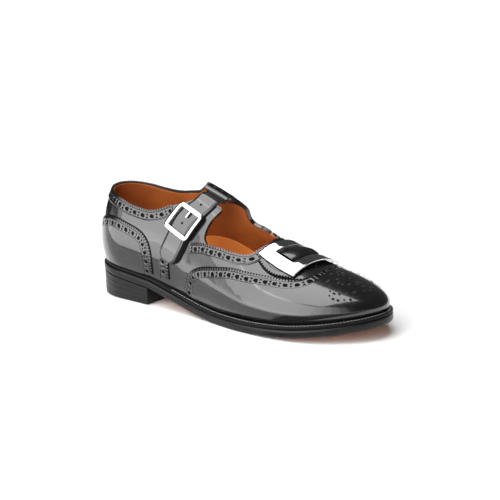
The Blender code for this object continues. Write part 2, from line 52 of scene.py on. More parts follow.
# Soft troughs and ridges: the dip in front of the strap, the hollow under the ankle and the
# first faint creases of the ball.
creases = (
    {"line": ((0.1330, -0.31), (0.1245, -0.44), (0.1190, -0.53), (0.1145, -0.655),
              (0.1095, -0.755), (0.1050, -0.835)),
     "depth": 0.0005, "width": 0.0060, "fade": 0.3},
    {"line": ((0.062, -0.88), (0.090, -0.90), (0.120, -0.93)), "depth": 0.0008, "width": 0.007,
     "fade": 0.4},
    {"line": ((0.196, -0.72), (0.203, -0.50), (0.207, -0.30)), "depth": 0.00035, "width": 0.004,
     "fade": 0.4},
    {"line": ((0.188, 0.74), (0.196, 0.52), (0.200, 0.32)), "depth": 0.00035, "width": 0.004,
     "fade": 0.4},
)
lastRows = (  # x, lateral, medial, centre, height, side, top, bulge
    (0.000, -0.0277, 0.0290, 0.000, 0.0921, 0.69, 0.55, 0.0040),
    (0.036, -0.0301, 0.0305, 0.000, 0.0946, 0.65, 0.55, 0.0040),
    (0.075, -0.0313, 0.0290, 0.000, 0.0943, 0.59, 0.50, 0.0030),
    (0.105, -0.0330, 0.0275, 0.001, 0.0938, 0.57, 0.42, 0.0026),
    (0.130, -0.0360, 0.0285, 0.002, 0.0898, 0.57, 0.40, 0.0032),
    (0.155, -0.0401, 0.0330, 0.003, 0.0785, 0.56, 0.42, 0.0042),
    (0.180, -0.0436, 0.0400, 0.004, 0.0621, 0.55, 0.46, 0.0048),
    (0.205, -0.0451, 0.0470, 0.005, 0.0497, 0.58, 0.50, 0.0050),
    (0.230, -0.0437, 0.0497, 0.006, 0.0402, 0.61, 0.55, 0.0042),
    (0.255, -0.0393, 0.0506, 0.007, 0.0352, 0.61, 0.60, 0.0042),
    (0.288, -0.0319, 0.0459, 0.008, 0.0290, 0.60, 0.62, 0.0045),
)
lastNames = ("x", "lateral", "medial", "centre", "height", "side", "top", "bulge")
lastColumn = {name: np.array(values) for name, values in zip(lastNames, zip(*lastRows))}
origin = np.array(last["origin"])


def spline(xs, ys, at):
    # natural cubic spline; ys may have several columns
    xs, ys = np.asarray(xs, float), np.asarray(ys, float)
    count = len(xs)
    gap = np.diff(xs)
    system = np.eye(count)
    right = np.zeros(ys.shape)
    for i in range(1, count - 1):
        system[i, i - 1:i + 2] = gap[i - 1], 2 * (gap[i - 1] + gap[i]), gap[i]
        right[i] = 6 * ((ys[i + 1] - ys[i]) / gap[i] - (ys[i] - ys[i - 1]) / gap[i - 1])
    curve = np.linalg.solve(system, right)
    at = np.clip(np.asarray(at, float), xs[0], xs[-1])
    k = np.clip(np.searchsorted(xs, at) - 1, 0, count - 2)
    a, b, g = at - xs[k], xs[k + 1] - at, gap[k]
    if ys.ndim > 1:
        a, b, g = a[..., None], b[..., None], g[..., None]
    bend = (curve[k] * b ** 3 + curve[k + 1] * a ** 3) / (6 * g)
    return bend + (ys[k] / g - curve[k] * g / 6) * b + (ys[k + 1] / g - curve[k + 1] * g / 6) * a


def lastAt(name, x):
    return spline(lastColumn["x"], lastColumn[name], x)


def ease(t):
    t = np.clip(t, 0, 1)
    return t * t * (3 - 2 * t)


def soleBottom(x):
    # underside of the sole: heel seat, arch, flat tread, toe spring
    x = np.asarray(x, float)
    slope = (last["breastZ"] - last["seat"]) / last["breastX"]
    span = last["treadStart"] - last["breastX"]
    s = np.clip((x - last["breastX"]) / span, 0, 1)
    arch = (2 * s ** 3 - 3 * s ** 2 + 1) * last["breastZ"]
    arch += (s ** 3 - 2 * s ** 2 + s) * span * slope * 2.2
    past = np.clip((x - last["treadEnd"]) / (last["length"] - last["treadEnd"]), 0, None)
    z = np.where(x > last["breastX"], arch, last["seat"] + slope * x)
    return np.where(x > last["treadEnd"], last["toeSpring"] * past ** 1.9, z)


def roundedEnds(x):
    heel = np.clip((last["heelRound"] - x) / last["heelRound"], 0, 1)
    toe = np.clip((x - last["toeRound"]) / (last["length"] - last["toeRound"]), 0, 1)
    wide = np.sqrt(np.clip(1 - heel ** last["heelPower"] - toe ** last["toePower"], 0, 1))
    high = np.sqrt(np.clip(1 - heel ** last["heelPower"] - toe ** last["toeDropPower"], 0, 1))
    return wide, high, heel, toe


def rawSkin(x, w):
    # the outside of the upper as the CAD has it, before fairing
    x, w = np.broadcast_arrays(np.asarray(x, float), np.asarray(w, float))
    wide, high, heel, toe = roundedEnds(x)
    centre = lastAt("centre", x)
    width = np.where(w < 0, centre - lastAt("lateral", x), lastAt("medial", x) - centre)
    t = 1 - np.abs(w)
    out = (1 - t) ** 3 + 3 * (1 - t) ** 2 * t + 3 * (1 - t) * t ** 2 * lastAt("top", x)
    up = 3 * (1 - t) ** 2 * t * lastAt("side", x) + 3 * (1 - t) * t ** 2 + t ** 3
    up = up * high
    y = centre + np.sign(w) * out * width * wide
    z = soleBottom(x) + last["feather"] + lastAt("height", x) * up
    gx = 2 * toe ** (last["toePower"] - 1) / (last["length"] - last["toeRound"])
    gx = gx - 2 * heel ** (last["heelPower"] - 1) / last["heelRound"]
    gy = 2 * np.sign(w) * out * wide / width
    g = np.hypot(gx, gy) + 1e-6
    push = lastAt("bulge", x) * 6.75 * up * (1 - up) ** 2
    return np.stack([x + push * gx / g, y + push * gy / g, z], -1) - origin


def extended(grid, count):
    # the grid carried on past the heel and the toe, as the other half of a rounded end
    flip = np.array([1.0, -1.0, -1.0])
    head = grid[count:0:-1] * flip + grid[0] * (1 - flip)
    tail = grid[-2:-count - 2:-1] * flip + grid[-1] * (1 - flip)
    return np.concatenate([head, grid, tail])


def blurred(grid, sigma):
    reach = int(3 * sigma)
    kernel = np.exp(-0.5 * (np.arange(-reach, reach + 1) / sigma) ** 2)
    kernel /= kernel.sum()
    wide = extended(grid, reach)
    return sum(wide[k:k + len(grid)] * kernel[k] for k in range(2 * reach + 1))


def buildSkin():
    # a fine faired grid of the last with its normals and slopes
    u = np.linspace(0, 1, last["rows"] + 1)
    w = np.linspace(-1, 1, last["columns"] + 1)
    grid = rawSkin(uToX(u)[:, None], w[None, :])
    once = blurred(grid, last["fairing"])
    grid = 2 * once - blurred(once, last["fairing"])
    normal = gridSlopes(grid, u, w)[0]
    flat = np.stack(np.broadcast_arrays(uToX(u)[:, None], w[None, :] * last["spread"]), -1)
    depth = sum(creaseDepth(flat, crease) for crease in creases)
    grid = grid - normal * depth[..., None]
    return (grid, *gridSlopes(grid, u, w))


def gridSlopes(grid, u, w):
    alongU = np.gradient(grid, u, axis=0)
    alongW = np.gradient(grid, w, axis=1)
    normal = np.cross(alongU, alongW)
    normal /= np.linalg.norm(normal, axis=-1, keepdims=True) + 1e-12
    normal[0] = (-1, 0, 0)
    normal[-1] = (1, 0, 0)
    return normal, alongU, alongW


def creaseDepth(flat, crease):
    # a soft trough along a line of (x, w) points, or a ridge where its depth is below zero
    line = np.array(crease["line"]) * (1.0, last["spread"])
    best = np.full(flat.shape[:2], 1.0)
    share = np.zeros(flat.shape[:2])
    for k, (a, b) in enumerate(zip(line, line[1:])):
        edge = b - a
        t = np.clip(((flat - a) @ edge) / (edge @ edge), 0, 1)
        away = np.linalg.norm(flat - a - t[..., None] * edge, axis=-1)
        nearer = away < best
        best = np.where(nearer, away, best)
        share = np.where(nearer, (k + t) / (len(line) - 1), share)
    fade = ease(share / crease["fade"]) * ease((1 - share) / crease["fade"])
    return crease["depth"] * fade * np.exp(-(best / crease["width"]) ** 2)


def uToX(u):
    return last["length"] * (1 - np.cos(np.pi * u)) / 2


def xToU(x):
    return np.arccos(np.clip(1 - 2 * np.asarray(x, float) / last["length"], -1, 1)) / np.pi


def padded(grid):
    # one more row and column at each side, in a straight line from the last two
    grid = np.concatenate([2 * grid[:1] - grid[1:2], grid, 2 * grid[-1:] - grid[-2:-1]])
    left, right = 2 * grid[:, :1] - grid[:, 1:2], 2 * grid[:, -1:] - grid[:, -2:-1]
    return np.concatenate([left, grid, right], 1)


skinGrid, skinNormal, skinAlongU, skinAlongW = (padded(g) for g in buildSkin())
skinGrid[1:-1] = np.concatenate([skinGrid[1:2], skinGrid[2:-2], skinGrid[-2:-1]])


def cubicWeights(t):
    return (((2 - t) * t - 1) * t / 2, (t * t * (3 * t - 5) + 2) / 2,
            ((4 - 3 * t) * t + 1) * t / 2, (t - 1) * t * t / 2)


def cells(spots):
    row = np.clip(spots[..., 0], 0, 1) * last["rows"]
    column = (np.clip(spots[..., 1], -1, 1) + 1) / 2 * last["columns"]
    i = np.clip(row.astype(int), 0, last["rows"] - 1)
    j = np.clip(column.astype(int), 0, last["columns"] - 1)
    return i + 1, j + 1, row - i, column - j


def bilinear(grid, spots):
    i, j, s, t = cells(spots)
    s, t = s[..., None], t[..., None]
    near = grid[i, j] * (1 - t) + grid[i, j + 1] * t
    far = grid[i + 1, j] * (1 - t) + grid[i + 1, j + 1] * t
    return near * (1 - s) + far * s


def skinPlace(spots):
    i, j, s, t = cells(spots)
    place = np.zeros(spots.shape[:-1] + (3,))
    for p, a in enumerate(cubicWeights(s)):
        for q, b in enumerate(cubicWeights(t)):
            place += (a * b)[..., None] * skinGrid[i + p - 1, j + q - 1]
    return place


def skinNormalAt(spots):
    normal = bilinear(skinNormal, spots)
    return normal / np.linalg.norm(normal, axis=-1, keepdims=True)


def onSkin(spots, height):
    # points at a height above the skin
    height = np.asarray(height, float)
    return skinPlace(spots) + skinNormalAt(spots) * (height[..., None] if height.ndim else height)


def settle(target, spots, rounds=5):
    # the spots of the skin nearest to some points in space
    spots = np.array(spots, float)
    for _ in range(rounds):
        miss = target - skinPlace(spots)
        a, b = bilinear(skinAlongU, spots), bilinear(skinAlongW, spots)
        aa, ab, bb = (a * a).sum(-1), (a * b).sum(-1), (b * b).sum(-1)
        ma, mb = (a * miss).sum(-1), (b * miss).sum(-1)
        scale = aa * bb - ab * ab + 1e-16
        step = np.stack([(bb * ma - ab * mb) / scale, (aa * mb - ab * ma) / scale], -1)
        step = np.clip(step, -0.05, 0.05)
        spots = spots + step
        spots = np.clip(spots, (0.0005, -1.0), (0.9995, 1.0))
    return spots


def spotsOf(points):
    points = np.asarray(points, float)
    return np.stack([xToU(points[..., 0]), points[..., 1]], -1)


# Paths over the skin
def runAlong(points):
    # the length walked up to each point of a line
    return np.concatenate([[0], np.cumsum(np.linalg.norm(np.diff(points, axis=0), axis=1))])


def layPath(points, step=0.0006):
    # an even walk along a curve through (x, w) points, with the sideways direction at each step
    spots = spotsOf(points)
    knots = runAlong(skinPlace(spots))
    fine = np.linspace(0, knots[-1], max(int(knots[-1] / step), 8))
    if len(points) > 2:
        spots = spline(knots, spots, fine)
    else:
        spots = np.stack([np.interp(fine, knots, spots[:, k]) for k in (0, 1)], -1)
    return pathFrom(spots, step)


def pathFrom(spots, step=0.0006):
    run = runAlong(skinPlace(spots))
    even = np.linspace(0, run[-1], max(int(run[-1] / step), 8))
    spots = np.stack([np.interp(even, run, spots[:, k]) for k in (0, 1)], -1)
    place, normal = skinPlace(spots), skinNormalAt(spots)
    along = np.gradient(place, axis=0)
    along /= np.linalg.norm(along, axis=1, keepdims=True) + 1e-12
    across = np.cross(normal, along)
    across /= np.linalg.norm(across, axis=1, keepdims=True)
    return {"spots": spots, "place": place, "along": along, "across": across, "run": even}


def beside(path, s, v):
    # spots on the skin at s along a path and v to its side
    s, v = np.broadcast_arrays(np.asarray(s, float), np.asarray(v, float))
    inside = np.clip(s, 0, path["run"][-1])

    def at(name):
        values = path[name]
        return np.stack([np.interp(inside, path["run"], values[:, k])
                         for k in range(values.shape[1])], -1)

    target = at("place") + at("across") * v[..., None] + at("along") * (s - inside)[..., None]
    return settle(target, at("spots"))


# Mesh helpers
def addPiece(name, points, faces, look, slot, replaced=(), sharp=38, join=2e-6):
    # one mesh piece that stands on the root body
    mesh = bpy.data.meshes.new(name)
    mesh.from_pydata(np.asarray(points, float).tolist(), [], [[int(k) for k in f] for f in faces])
    work = bmesh.new()
    work.from_mesh(mesh)
    bmesh.ops.remove_doubles(work, verts=work.verts, dist=join)
    bmesh.ops.dissolve_degenerate(work, edges=work.edges, dist=1e-7)
    loose = [v for v in work.verts if not v.link_faces]
    bmesh.ops.delete(work, geom=loose, context="VERTS")
    work.verts.index_update()
    twins = {}
    for face in work.faces:
        twins.setdefault(tuple(sorted(v.index for v in face.verts)), []).append(face)
    inner = [face for pair in twins.values() if len(pair) > 1 for face in pair]
    bmesh.ops.delete(work, geom=inner, context="FACES")
    if work.calc_volume(signed=True) < 0:
        bmesh.ops.reverse_faces(work, faces=work.faces[:])
    work.to_mesh(mesh)
    work.free()
    mesh.shade_smooth()
    mesh.set_sharp_from_angle(angle=math.radians(sharp))
    mesh.materials.append(look)
    piece = bpy.data.objects.new(name, mesh)
    bpy.context.scene.collection.objects.link(piece)
    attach(piece, "root")
    if replaced:
        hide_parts(*replaced)
    print(name, len(mesh.vertices), "points")
    return piece


def freeEdges(faces):
    # edges that belong to one face only, in that face's direction
    seen = {}
    for face in faces:
        for a, b in zip(face, face[1:] + face[:1]):
            if (b, a) in seen:
                del seen[(b, a)]
            else:
                seen[(a, b)] = True
    return list(seen)


def thicken(top, bottom, faces):
    # closes two matching sheets with a wall round every free edge
    faces = [[int(k) for k in face] for face in faces]
    count = len(top)
    walls = [[b, a, a + count, b + count] for a, b in freeEdges(faces)]
    under = [[k + count for k in face[::-1]] for face in faces]
    return np.concatenate([top, bottom]), faces + under + walls


def gridFaces(rows, columns, turned=False):
    # quads between the points of a grid, which face the other way where turned
    quads = [[i * columns + j, (i + 1) * columns + j, (i + 1) * columns + j + 1, i * columns + j + 1]
             for i in range(rows - 1) for j in range(columns - 1)]
    return [[a, d, c, b] for a, b, c, d in quads] if turned else quads


def insideOutline(spots, outline, scale, sliceSize=400000):
    # signed distance to a closed outline, positive inside, worked out in slices
    outline = np.asarray(outline, float) * scale
    a, b = outline, np.roll(outline, -1, 0)
    edge = b - a
    rise = np.where(np.abs(edge[:, 1]) < 1e-12, 1e-12, edge[:, 1])
    length = (edge * edge).sum(-1) + 1e-18
    result = []
    for p in np.array_split(spots * scale, max(1, len(spots) * len(outline) // sliceSize)):
        rel = p[:, None] - a
        t = np.clip((rel * edge).sum(-1) / length, 0, 1)
        distance = np.sqrt(((rel - t[..., None] * edge) ** 2).sum(-1)).min(1)
        cross = (a[:, 1] > p[:, None, 1]) != (b[:, 1] > p[:, None, 1])
        at = a[:, 0] + (p[:, None, 1] - a[:, 1]) * edge[:, 0] / rise
        inside = (cross & (p[:, None, 0] < at)).sum(1) % 2 == 1
        result.append(np.where(inside, distance, -distance))
    return np.concatenate(result)


def cutPanel(region, stride=2):
    # the part of the skin where region(spots in u and w) is positive, as spots and faces
    u = np.arange(0, last["rows"] + 1, stride) / last["rows"]
    w = np.arange(0, last["columns"] + 1, stride) * 2 / last["columns"] - 1
    grid = np.stack(np.meshgrid(u, w, indexing="ij"), -1)
    m, n = grid.shape[:2]
    spots = grid.reshape(-1, 2)
    value = region(spots)
    value = np.where(np.abs(value) < 1e-7, 1e-7, value)
    index = np.arange(m * n).reshape(m, n)
    corners = [index[:-1, :-1], index[1:, :-1], index[1:, 1:], index[:-1, 1:]]
    quads = np.stack(corners, -1).reshape(-1, 4)
    kept = (value[quads] > 0).sum(1)
    faces = quads[kept == 4].tolist()
    extra, made = [], {}

    def between(i, j):
        i, j = min(i, j), max(i, j)
        if (i, j) not in made:
            t = value[i] / (value[i] - value[j])
            made[(i, j)] = len(spots) + len(extra)
            extra.append(spots[i] * (1 - t) + spots[j] * t)
        return made[(i, j)]

    for quad in quads[(kept > 0) & (kept < 4)].tolist():
        ring = []
        for i, j in zip(quad, quad[1:] + quad[:1]):
            if value[i] > 0:
                ring.append(i)
            if (value[i] > 0) != (value[j] > 0):
                ring.append(between(i, j))
        if len(ring) > 2:
            faces.append(ring)
    spots = np.concatenate([spots, extra]) if extra else spots
    used = np.unique([k for face in faces for k in face])
    renamed = np.zeros(len(spots), int)
    renamed[used] = np.arange(len(used))
    return spots[used], [[int(renamed[k]) for k in face] for face in faces]


def tube(centres, sideways, upward, profile):
    # a profile of (sideways, upward) points carried along a line of centres, closed at both ends
    count, around = len(centres), len(profile)
    profile = np.asarray(profile, float)
    points = (centres[:, None] + sideways[:, None] * profile[None, :, :1]
              + upward[:, None] * profile[None, :, 1:]).reshape(-1, 3)
    faces = []
    for i in range(count - 1):
        near, far = i * around, (i + 1) * around
        faces += [[near + k, far + k, far + (k + 1) % around, near + (k + 1) % around]
                  for k in range(around)]
    faces.append(list(range(around)))
    faces.append([(count - 1) * around + k for k in range(around)][::-1])
    return points, faces


def merged(parts):
    points, faces, start = [], [], 0
    for some, rings in parts:
        points.append(some)
        faces += [[k + start for k in ring] for ring in rings]
        start += len(some)
    return np.concatenate(points), faces


# Materials
def newLook(name):
    look = bpy.data.materials.new(name)
    look.use_nodes = True
    nodes = look.node_tree.nodes
    return look, nodes, look.node_tree.links, nodes["Principled BSDF"]


def noiseNode(nodes, links, source, scale, detail=2.0, rough=0.5, stretch=None):
    noise = nodes.new("ShaderNodeTexNoise")
    noise.inputs["Scale"].default_value = scale
    noise.inputs["Detail"].default_value = detail
    noise.inputs["Roughness"].default_value = rough
    if stretch:
        turned = nodes.new("ShaderNodeMapping")
        turned.inputs["Scale"].default_value = stretch
        links.new(source, turned.inputs["Vector"])
        source = turned.outputs["Vector"]
    links.new(source, noise.inputs["Vector"])
    return noise.outputs["Fac"]


def rampNode(nodes, links, source, stops):
    ramp = nodes.new("ShaderNodeValToRGB")
    links.new(source, ramp.inputs["Fac"])
    while len(ramp.color_ramp.elements) < len(stops):
        ramp.color_ramp.elements.new(0.5)
    for element, (at, colour) in zip(ramp.color_ramp.elements, stops):
        element.position = at
        element.color = (*colour, 1) if len(colour) == 3 else colour
    return ramp.outputs["Color"]


def bumpNode(nodes, links, height, strength, distance, before=None):
    bump = nodes.new("ShaderNodeBump")
    bump.inputs["Strength"].default_value = strength
    bump.inputs["Distance"].default_value = distance
    links.new(height, bump.inputs["Height"])
    if before:
        links.new(before, bump.inputs["Normal"])
    return bump.outputs["Normal"]


def rangeNode(nodes, links, source, low, high):
    mapped = nodes.new("ShaderNodeMapRange")
    mapped.inputs["To Min"].default_value = low
    mapped.inputs["To Max"].default_value = high
    links.new(source, mapped.inputs["Value"])
    return mapped.outputs["Result"]


def leatherLook(name, settings):
    # grain bump, slow waves in the hide, and a clear coat where it is polished
    look, nodes, links, shader = newLook(name)
    place = nodes.new("ShaderNodeTexCoord").outputs["Object"]
    tone = noiseNode(nodes, links, place, settings["toneScale"], 4)
    links.new(rampNode(nodes, links, tone, [(0.3, settings["dark"]), (0.7, settings["light"])]),
              shader.inputs["Base Color"])
    grainScale, *grainBump = settings["grain"]
    waveScale, *waveBump = settings["wave"]
    grain = noiseNode(nodes, links, place, grainScale, 3, 0.6)
    wave = noiseNode(nodes, links, place, waveScale, 1)
    normal = bumpNode(nodes, links, wave, *waveBump)
    normal = bumpNode(nodes, links, grain, *grainBump, normal)
    links.new(normal, shader.inputs["Normal"])
    patches = noiseNode(nodes, links, place, settings["toneScale"] * 2, 3)
    links.new(rangeNode(nodes, links, patches, *settings["rough"]), shader.inputs["Roughness"])
    shader.inputs["Coat Weight"].default_value = settings.get("coat", 0)
    shader.inputs["Coat Roughness"].default_value = settings.get("coatRough", 0.03)
    shader.inputs["Specular IOR Level"].default_value = settings.get("specular", 0.5)
    if settings.get("coat"):
        links.new(bumpNode(nodes, links, wave, *waveBump), shader.inputs["Coat Normal"])
    return look


def metalLook(name, colour, rough):
    look, nodes, links, shader = newLook(name)
    place = nodes.new("ShaderNodeTexCoord").outputs["Object"]
    shader.inputs["Base Color"].default_value = (*colour, 1)
    shader.inputs["Metallic"].default_value = 1
    smear = noiseNode(nodes, links, place, 160, 4, 0.7, (1, 1, 6))
    links.new(rangeNode(nodes, links, smear, *rough), shader.inputs["Roughness"])
    links.new(bumpNode(nodes, links, smear, 0.05, 0.0002), shader.inputs["Normal"])
    return look


# grain and wave: the noise's scale, then the strength and the depth in metres of its bump
looks = {
    "upper": leatherLook("black_gloss_leather", {
        "dark": (0.0035, 0.0035, 0.0037), "light": (0.0075, 0.0072, 0.0072), "toneScale": 40,
        "grain": (1500, 0.10, 0.00025), "wave": (55, 0.22, 0.0009), "rough": (0.16, 0.30),
        "coat": 1.0, "coatRough": 0.05}),
    "edge": leatherLook("black_edge_dressing", {
        "dark": (0.004, 0.004, 0.004), "light": (0.009, 0.009, 0.009), "toneScale": 60,
        "grain": (700, 0.25, 0.0003), "wave": (120, 0.2, 0.0006), "rough": (0.30, 0.42),
        "specular": 0.3}),
    "lining": leatherLook("tan_lining", {
        "dark": (0.26, 0.066, 0.012), "light": (0.38, 0.104, 0.022), "toneScale": 45,
        "grain": (1100, 0.25, 0.0003), "wave": (60, 0.3, 0.001), "rough": (0.42, 0.55)}),
    # the insole's own tan, also used for the painted pool of light on the medial wall
    "insole": leatherLook("tan_insole_and_painted_light", {
        "dark": (0.93, 0.33, 0.070), "light": (1.0, 0.39, 0.095), "toneScale": 30,
        "grain": (1200, 0.2, 0.0003), "wave": (50, 0.2, 0.001), "rough": (0.45, 0.6)}),
    "tread": leatherLook("tan_sole_leather", {
        "dark": (0.42, 0.15, 0.045), "light": (0.52, 0.20, 0.07), "toneScale": 35,
        "grain": (800, 0.3, 0.0004), "wave": (60, 0.3, 0.001), "rough": (0.35, 0.5)}),
    "metal": metalLook("polished_steel", (0.72, 0.72, 0.71), (0.04, 0.11)),
}


def plainLook(name, dark, light, scale, rough):
    # cloth, thread and raw leather that hardly shine, and the near-black matt of painted shade
    look, nodes, links, shader = newLook(name)
    place = nodes.new("ShaderNodeTexCoord").outputs["Object"]
    tone = noiseNode(nodes, links, place, scale, 3)
    links.new(rampNode(nodes, links, tone, [(0.3, dark), (0.7, light)]), shader.inputs["Base Color"])
    links.new(bumpNode(nodes, links, tone, 0.4, 0.0002), shader.inputs["Normal"])
    shader.inputs["Roughness"].default_value = rough
    shader.inputs["Specular IOR Level"].default_value = 0.15
    return look


looks["thread"] = plainLook("black_thread", (0.003, 0.003, 0.003), (0.008, 0.008, 0.008), 2500, 0.7)
# painted shade: a near-black matt look for strips and discs laid where shade falls
looks["backing"] = plainLook("black_backing", (0.001, 0.001, 0.001), (0.003, 0.003, 0.003), 900, 0.9)
looks["weltThread"] = plainLook("waxed_thread", (0.22, 0.21, 0.20), (0.34, 0.33, 0.31), 2500, 0.5)
looks["welt"] = plainLook("black_welt", (0.002, 0.002, 0.002), (0.006, 0.006, 0.006), 700, 0.45)


# Outlines on the last, in (x, w)
topline = {
    "x": (0.000, 0.011, 0.022, 0.034, 0.046, 0.058, 0.068, 0.078, 0.088, 0.097),
    "lateral": (0.1005, 0.1000, 0.0970, 0.0930, 0.0890, 0.0868, 0.0860, 0.0880, 0.0925, 0.0965),
    "medial": (0.1005, 0.1005, 0.0988, 0.0968, 0.0955, 0.0950, 0.0955, 0.0970, 0.0995, 0.1030),
}


def toplineSpot(side, x):
    # the w where the top line crosses the last at x
    height = spline(topline["x"], topline[side], x)
    sign = -1 if side == "lateral" else 1
    low, high = 0.0, 1.0
    for _ in range(30):
        middle = (low + high) / 2
        z = skinPlace(spotsOf((x, sign * middle)))[2]
        low, high = (middle, high) if z > height else (low, middle)
    return x, sign * low


def toplineRear(w):
    # the x where the top line crosses the heel at w
    side = "lateral" if w < 0 else "medial"
    low, high = 0.0, 0.05
    for _ in range(30):
        middle = (low + high) / 2
        z = skinPlace(spotsOf((middle, w)))[2]
        low, high = (middle, high) if z < spline(topline["x"], topline[side], middle) else (low, middle)
    return low, w


def collarPoints():
    # round the collar from the lateral strap to the medial tab
    lateral = [toplineSpot("lateral", x) for x in (0.087, 0.076, 0.066, 0.056, 0.046, 0.036, 0.028)]
    rear = [toplineRear(w) for w in (-0.48, -0.38, -0.25, -0.12, 0.0, 0.12, 0.25, 0.36)]
    medial = [toplineSpot("medial", x) for x in (0.026, 0.036, 0.048, 0.060, 0.072, 0.084)]
    front = [(0.096, -0.42), (0.104, -0.36), (0.110, -0.30), (0.116, -0.262)]
    tab = [(0.094, 0.36), (0.101, 0.27), (0.107, 0.17), (0.112, 0.04), (0.1135, -0.11)]
    return front[::-1] + lateral + rear + medial + tab


openingRuns = {
    "collar": collarPoints(),
    "tabEnd": [(0.1135, -0.11), (0.125, -0.112), (0.1365, -0.105)],
    "tabFront": [(0.1365, -0.105), (0.142, 0.00), (0.1465, 0.12), (0.1480, 0.22), (0.1480, 0.31),
                 (0.1495, 0.365), (0.154, 0.375), (0.161, 0.335), (0.171, 0.26)],
    "throat": [(0.171, 0.26), (0.180, 0.175), (0.184, 0.06), (0.185, -0.06), (0.184, -0.20),
               (0.181, -0.33), (0.177, -0.42), (0.171, -0.475), (0.161, -0.525), (0.148, -0.567),
               (0.138, -0.597), (0.1335, -0.606)],
    "horn": [(0.1335, -0.606), (0.1300, -0.585), (0.1290, -0.53), (0.1300, -0.46), (0.1325, -0.38),
             (0.1350, -0.31), (0.1365, -0.25)],
    "hornTop": [(0.1365, -0.25), (0.126, -0.256), (0.116, -0.262)],
}


def openingOutline():
    rings = []
    for name in ("collar", "tabEnd", "tabFront", "throat", "horn", "hornTop"):
        path = layPath(openingRuns[name], 0.0015)
        rings.append(path["spots"][:-1])
    return np.concatenate(rings)


spread = np.array([0.30, 0.06])      # rough lengths in metres of one unit of u and of w
opening = openingOutline()
wingRear = [(0.113, -1.00), (0.1165, -0.93), (0.1195, -0.86), (0.126, -0.81), (0.135, -0.768),
            (0.149, -0.715), (0.169, -0.63), (0.184, -0.58), (0.198, -0.535), (0.212, -0.50),
            (0.223, -0.455), (0.230, -0.38), (0.233, -0.28), (0.234, -0.10), (0.234, 0.10),
            (0.233, 0.28), (0.230, 0.38), (0.223, 0.455), (0.212, 0.50), (0.198, 0.53),
            (0.184, 0.56), (0.169, 0.61), (0.149, 0.70), (0.135, 0.765), (0.126, 0.81),
            (0.1195, 0.86), (0.1165, 0.93), (0.113, 1.00)]
counterSide = [(0.0735, 1.00), (0.0730, 0.93), (0.0715, 0.85), (0.0670, 0.785), (0.0600, 0.752),
               (0.049, 0.737), (0.038, 0.728), (0.026, 0.715), (0.017, 0.700), (0.0095, 0.66),
               (0.0045, 0.56), (0.0020, 0.38)]
counterRear = [(x, -w) for x, w in counterSide] + [(0.0012, 0.0)] + counterSide[::-1]


def aboveWelt(spots, clear):
    # how far above the feather line, less a clearance
    place = skinPlace(spots)
    return place[:, 2] - soleBottom(uToX(spots[:, 0])) - last["feather"] - clear


def upperRegion(spots):
    return -insideOutline(spots, opening, spread)


wingPath = layPath(wingRear, 0.0015)
counterPath = layPath(counterRear, 0.0015)
panelTuck = 0.0080       # how far inside its edge a panel starts, under its band


# Punched bands: tiles of one large hole and a pair of small ones, between two stitched grooves
band = {
    "step": 0.0009, "zone": (0.0019, 0.0073), "width": 0.0088, "rows": (0.0013, 0.0079),
    "tooth": 0.0018, "toothOut": 0.70, "toothIn": 0.40, "toothSteps": 3,
    "bigSteps": 6, "smallSteps": 4, "bigHole": 0.0017, "smallHole": 0.00072, "rim": 0.00025,
    "rimDrop": 0.00018, "groove": 0.00028, "grooveHalf": 0.0003, "edgeDrop": 0.00025,
    "thick": 0.0010, "threadUp": 0.00012, "threadTrim": 0.001,
    # painted shade: matt black strips under a band, seen through its holes, and past its toothed edge:
    # two lengths across and a height
    "under": (0.0017, 0.0075, 0.00035), "past": (-0.0019, 0.0016, 0.00030), "foot": -0.0001,
    "pastNames": ("wing_band", "counter_band", "foot_strip"),
}
stitch = {"pitch": 0.0019, "long": 0.0014, "wide": 0.00027, "stations": (-0.5, -0.3, 0.3, 0.5),
          "girth": (0.35, 1.0, 1.0, 0.35), "around": 5}


class Plan:
    # points (s, v, height) in the flat, shared where they fall together, and faces between them
    def __init__(self):
        self.points = []
        self.index = {}
        self.faces = []

    def at(self, s, v, height=0.0):
        key = (round(s * 1e6), round(v * 1e6))
        if key not in self.index:
            self.index[key] = len(self.points)
            self.points.append((s, v, height))
        return self.index[key]

    def row(self, stations, low, high):
        # quads between two lines, each given as v and height for a station
        for k in range(len(stations) - 1):
            a, b = stations[k], stations[k + 1]
            self.faces.append([self.at(a, *low(k)), self.at(b, *low(k + 1)),
                               self.at(b, *high(k + 1)), self.at(a, *high(k))])

    def hole(self, s0, s1, v0, v1, steps, rises, radius):
        # a cell with a round hole whose rim is slightly rounded
        side = [(s0 + (s1 - s0) * k / steps, v0) for k in range(steps)]
        side += [(s1, v0 + (v1 - v0) * k / rises) for k in range(rises)]
        side += [(s1 - (s1 - s0) * k / steps, v1) for k in range(steps)]
        side += [(s0, v1 - (v1 - v0) * k / rises) for k in range(rises)]
        cs, cv, hs, hv = (s0 + s1) / 2, (v0 + v1) / 2, (s1 - s0) / 2, (v1 - v0) / 2
        rings = [[self.at(*p) for p in side], [], []]
        for s, v in side:
            angle = math.atan2((v - cv) / hv, (s - cs) / hs)
            c, q = math.cos(angle), math.sin(angle)
            wide = radius + band["rim"]
            rings[1].append(self.at(cs + c * wide, cv + q * wide))
            rings[2].append(self.at(cs + c * radius, cv + q * radius, -band["rimDrop"]))
        for outer, inner in zip(rings, rings[1:]):
            for k in range(len(side)):
                q = (k + 1) % len(side)
                self.faces.append([outer[k], outer[q], inner[q], inner[k]])


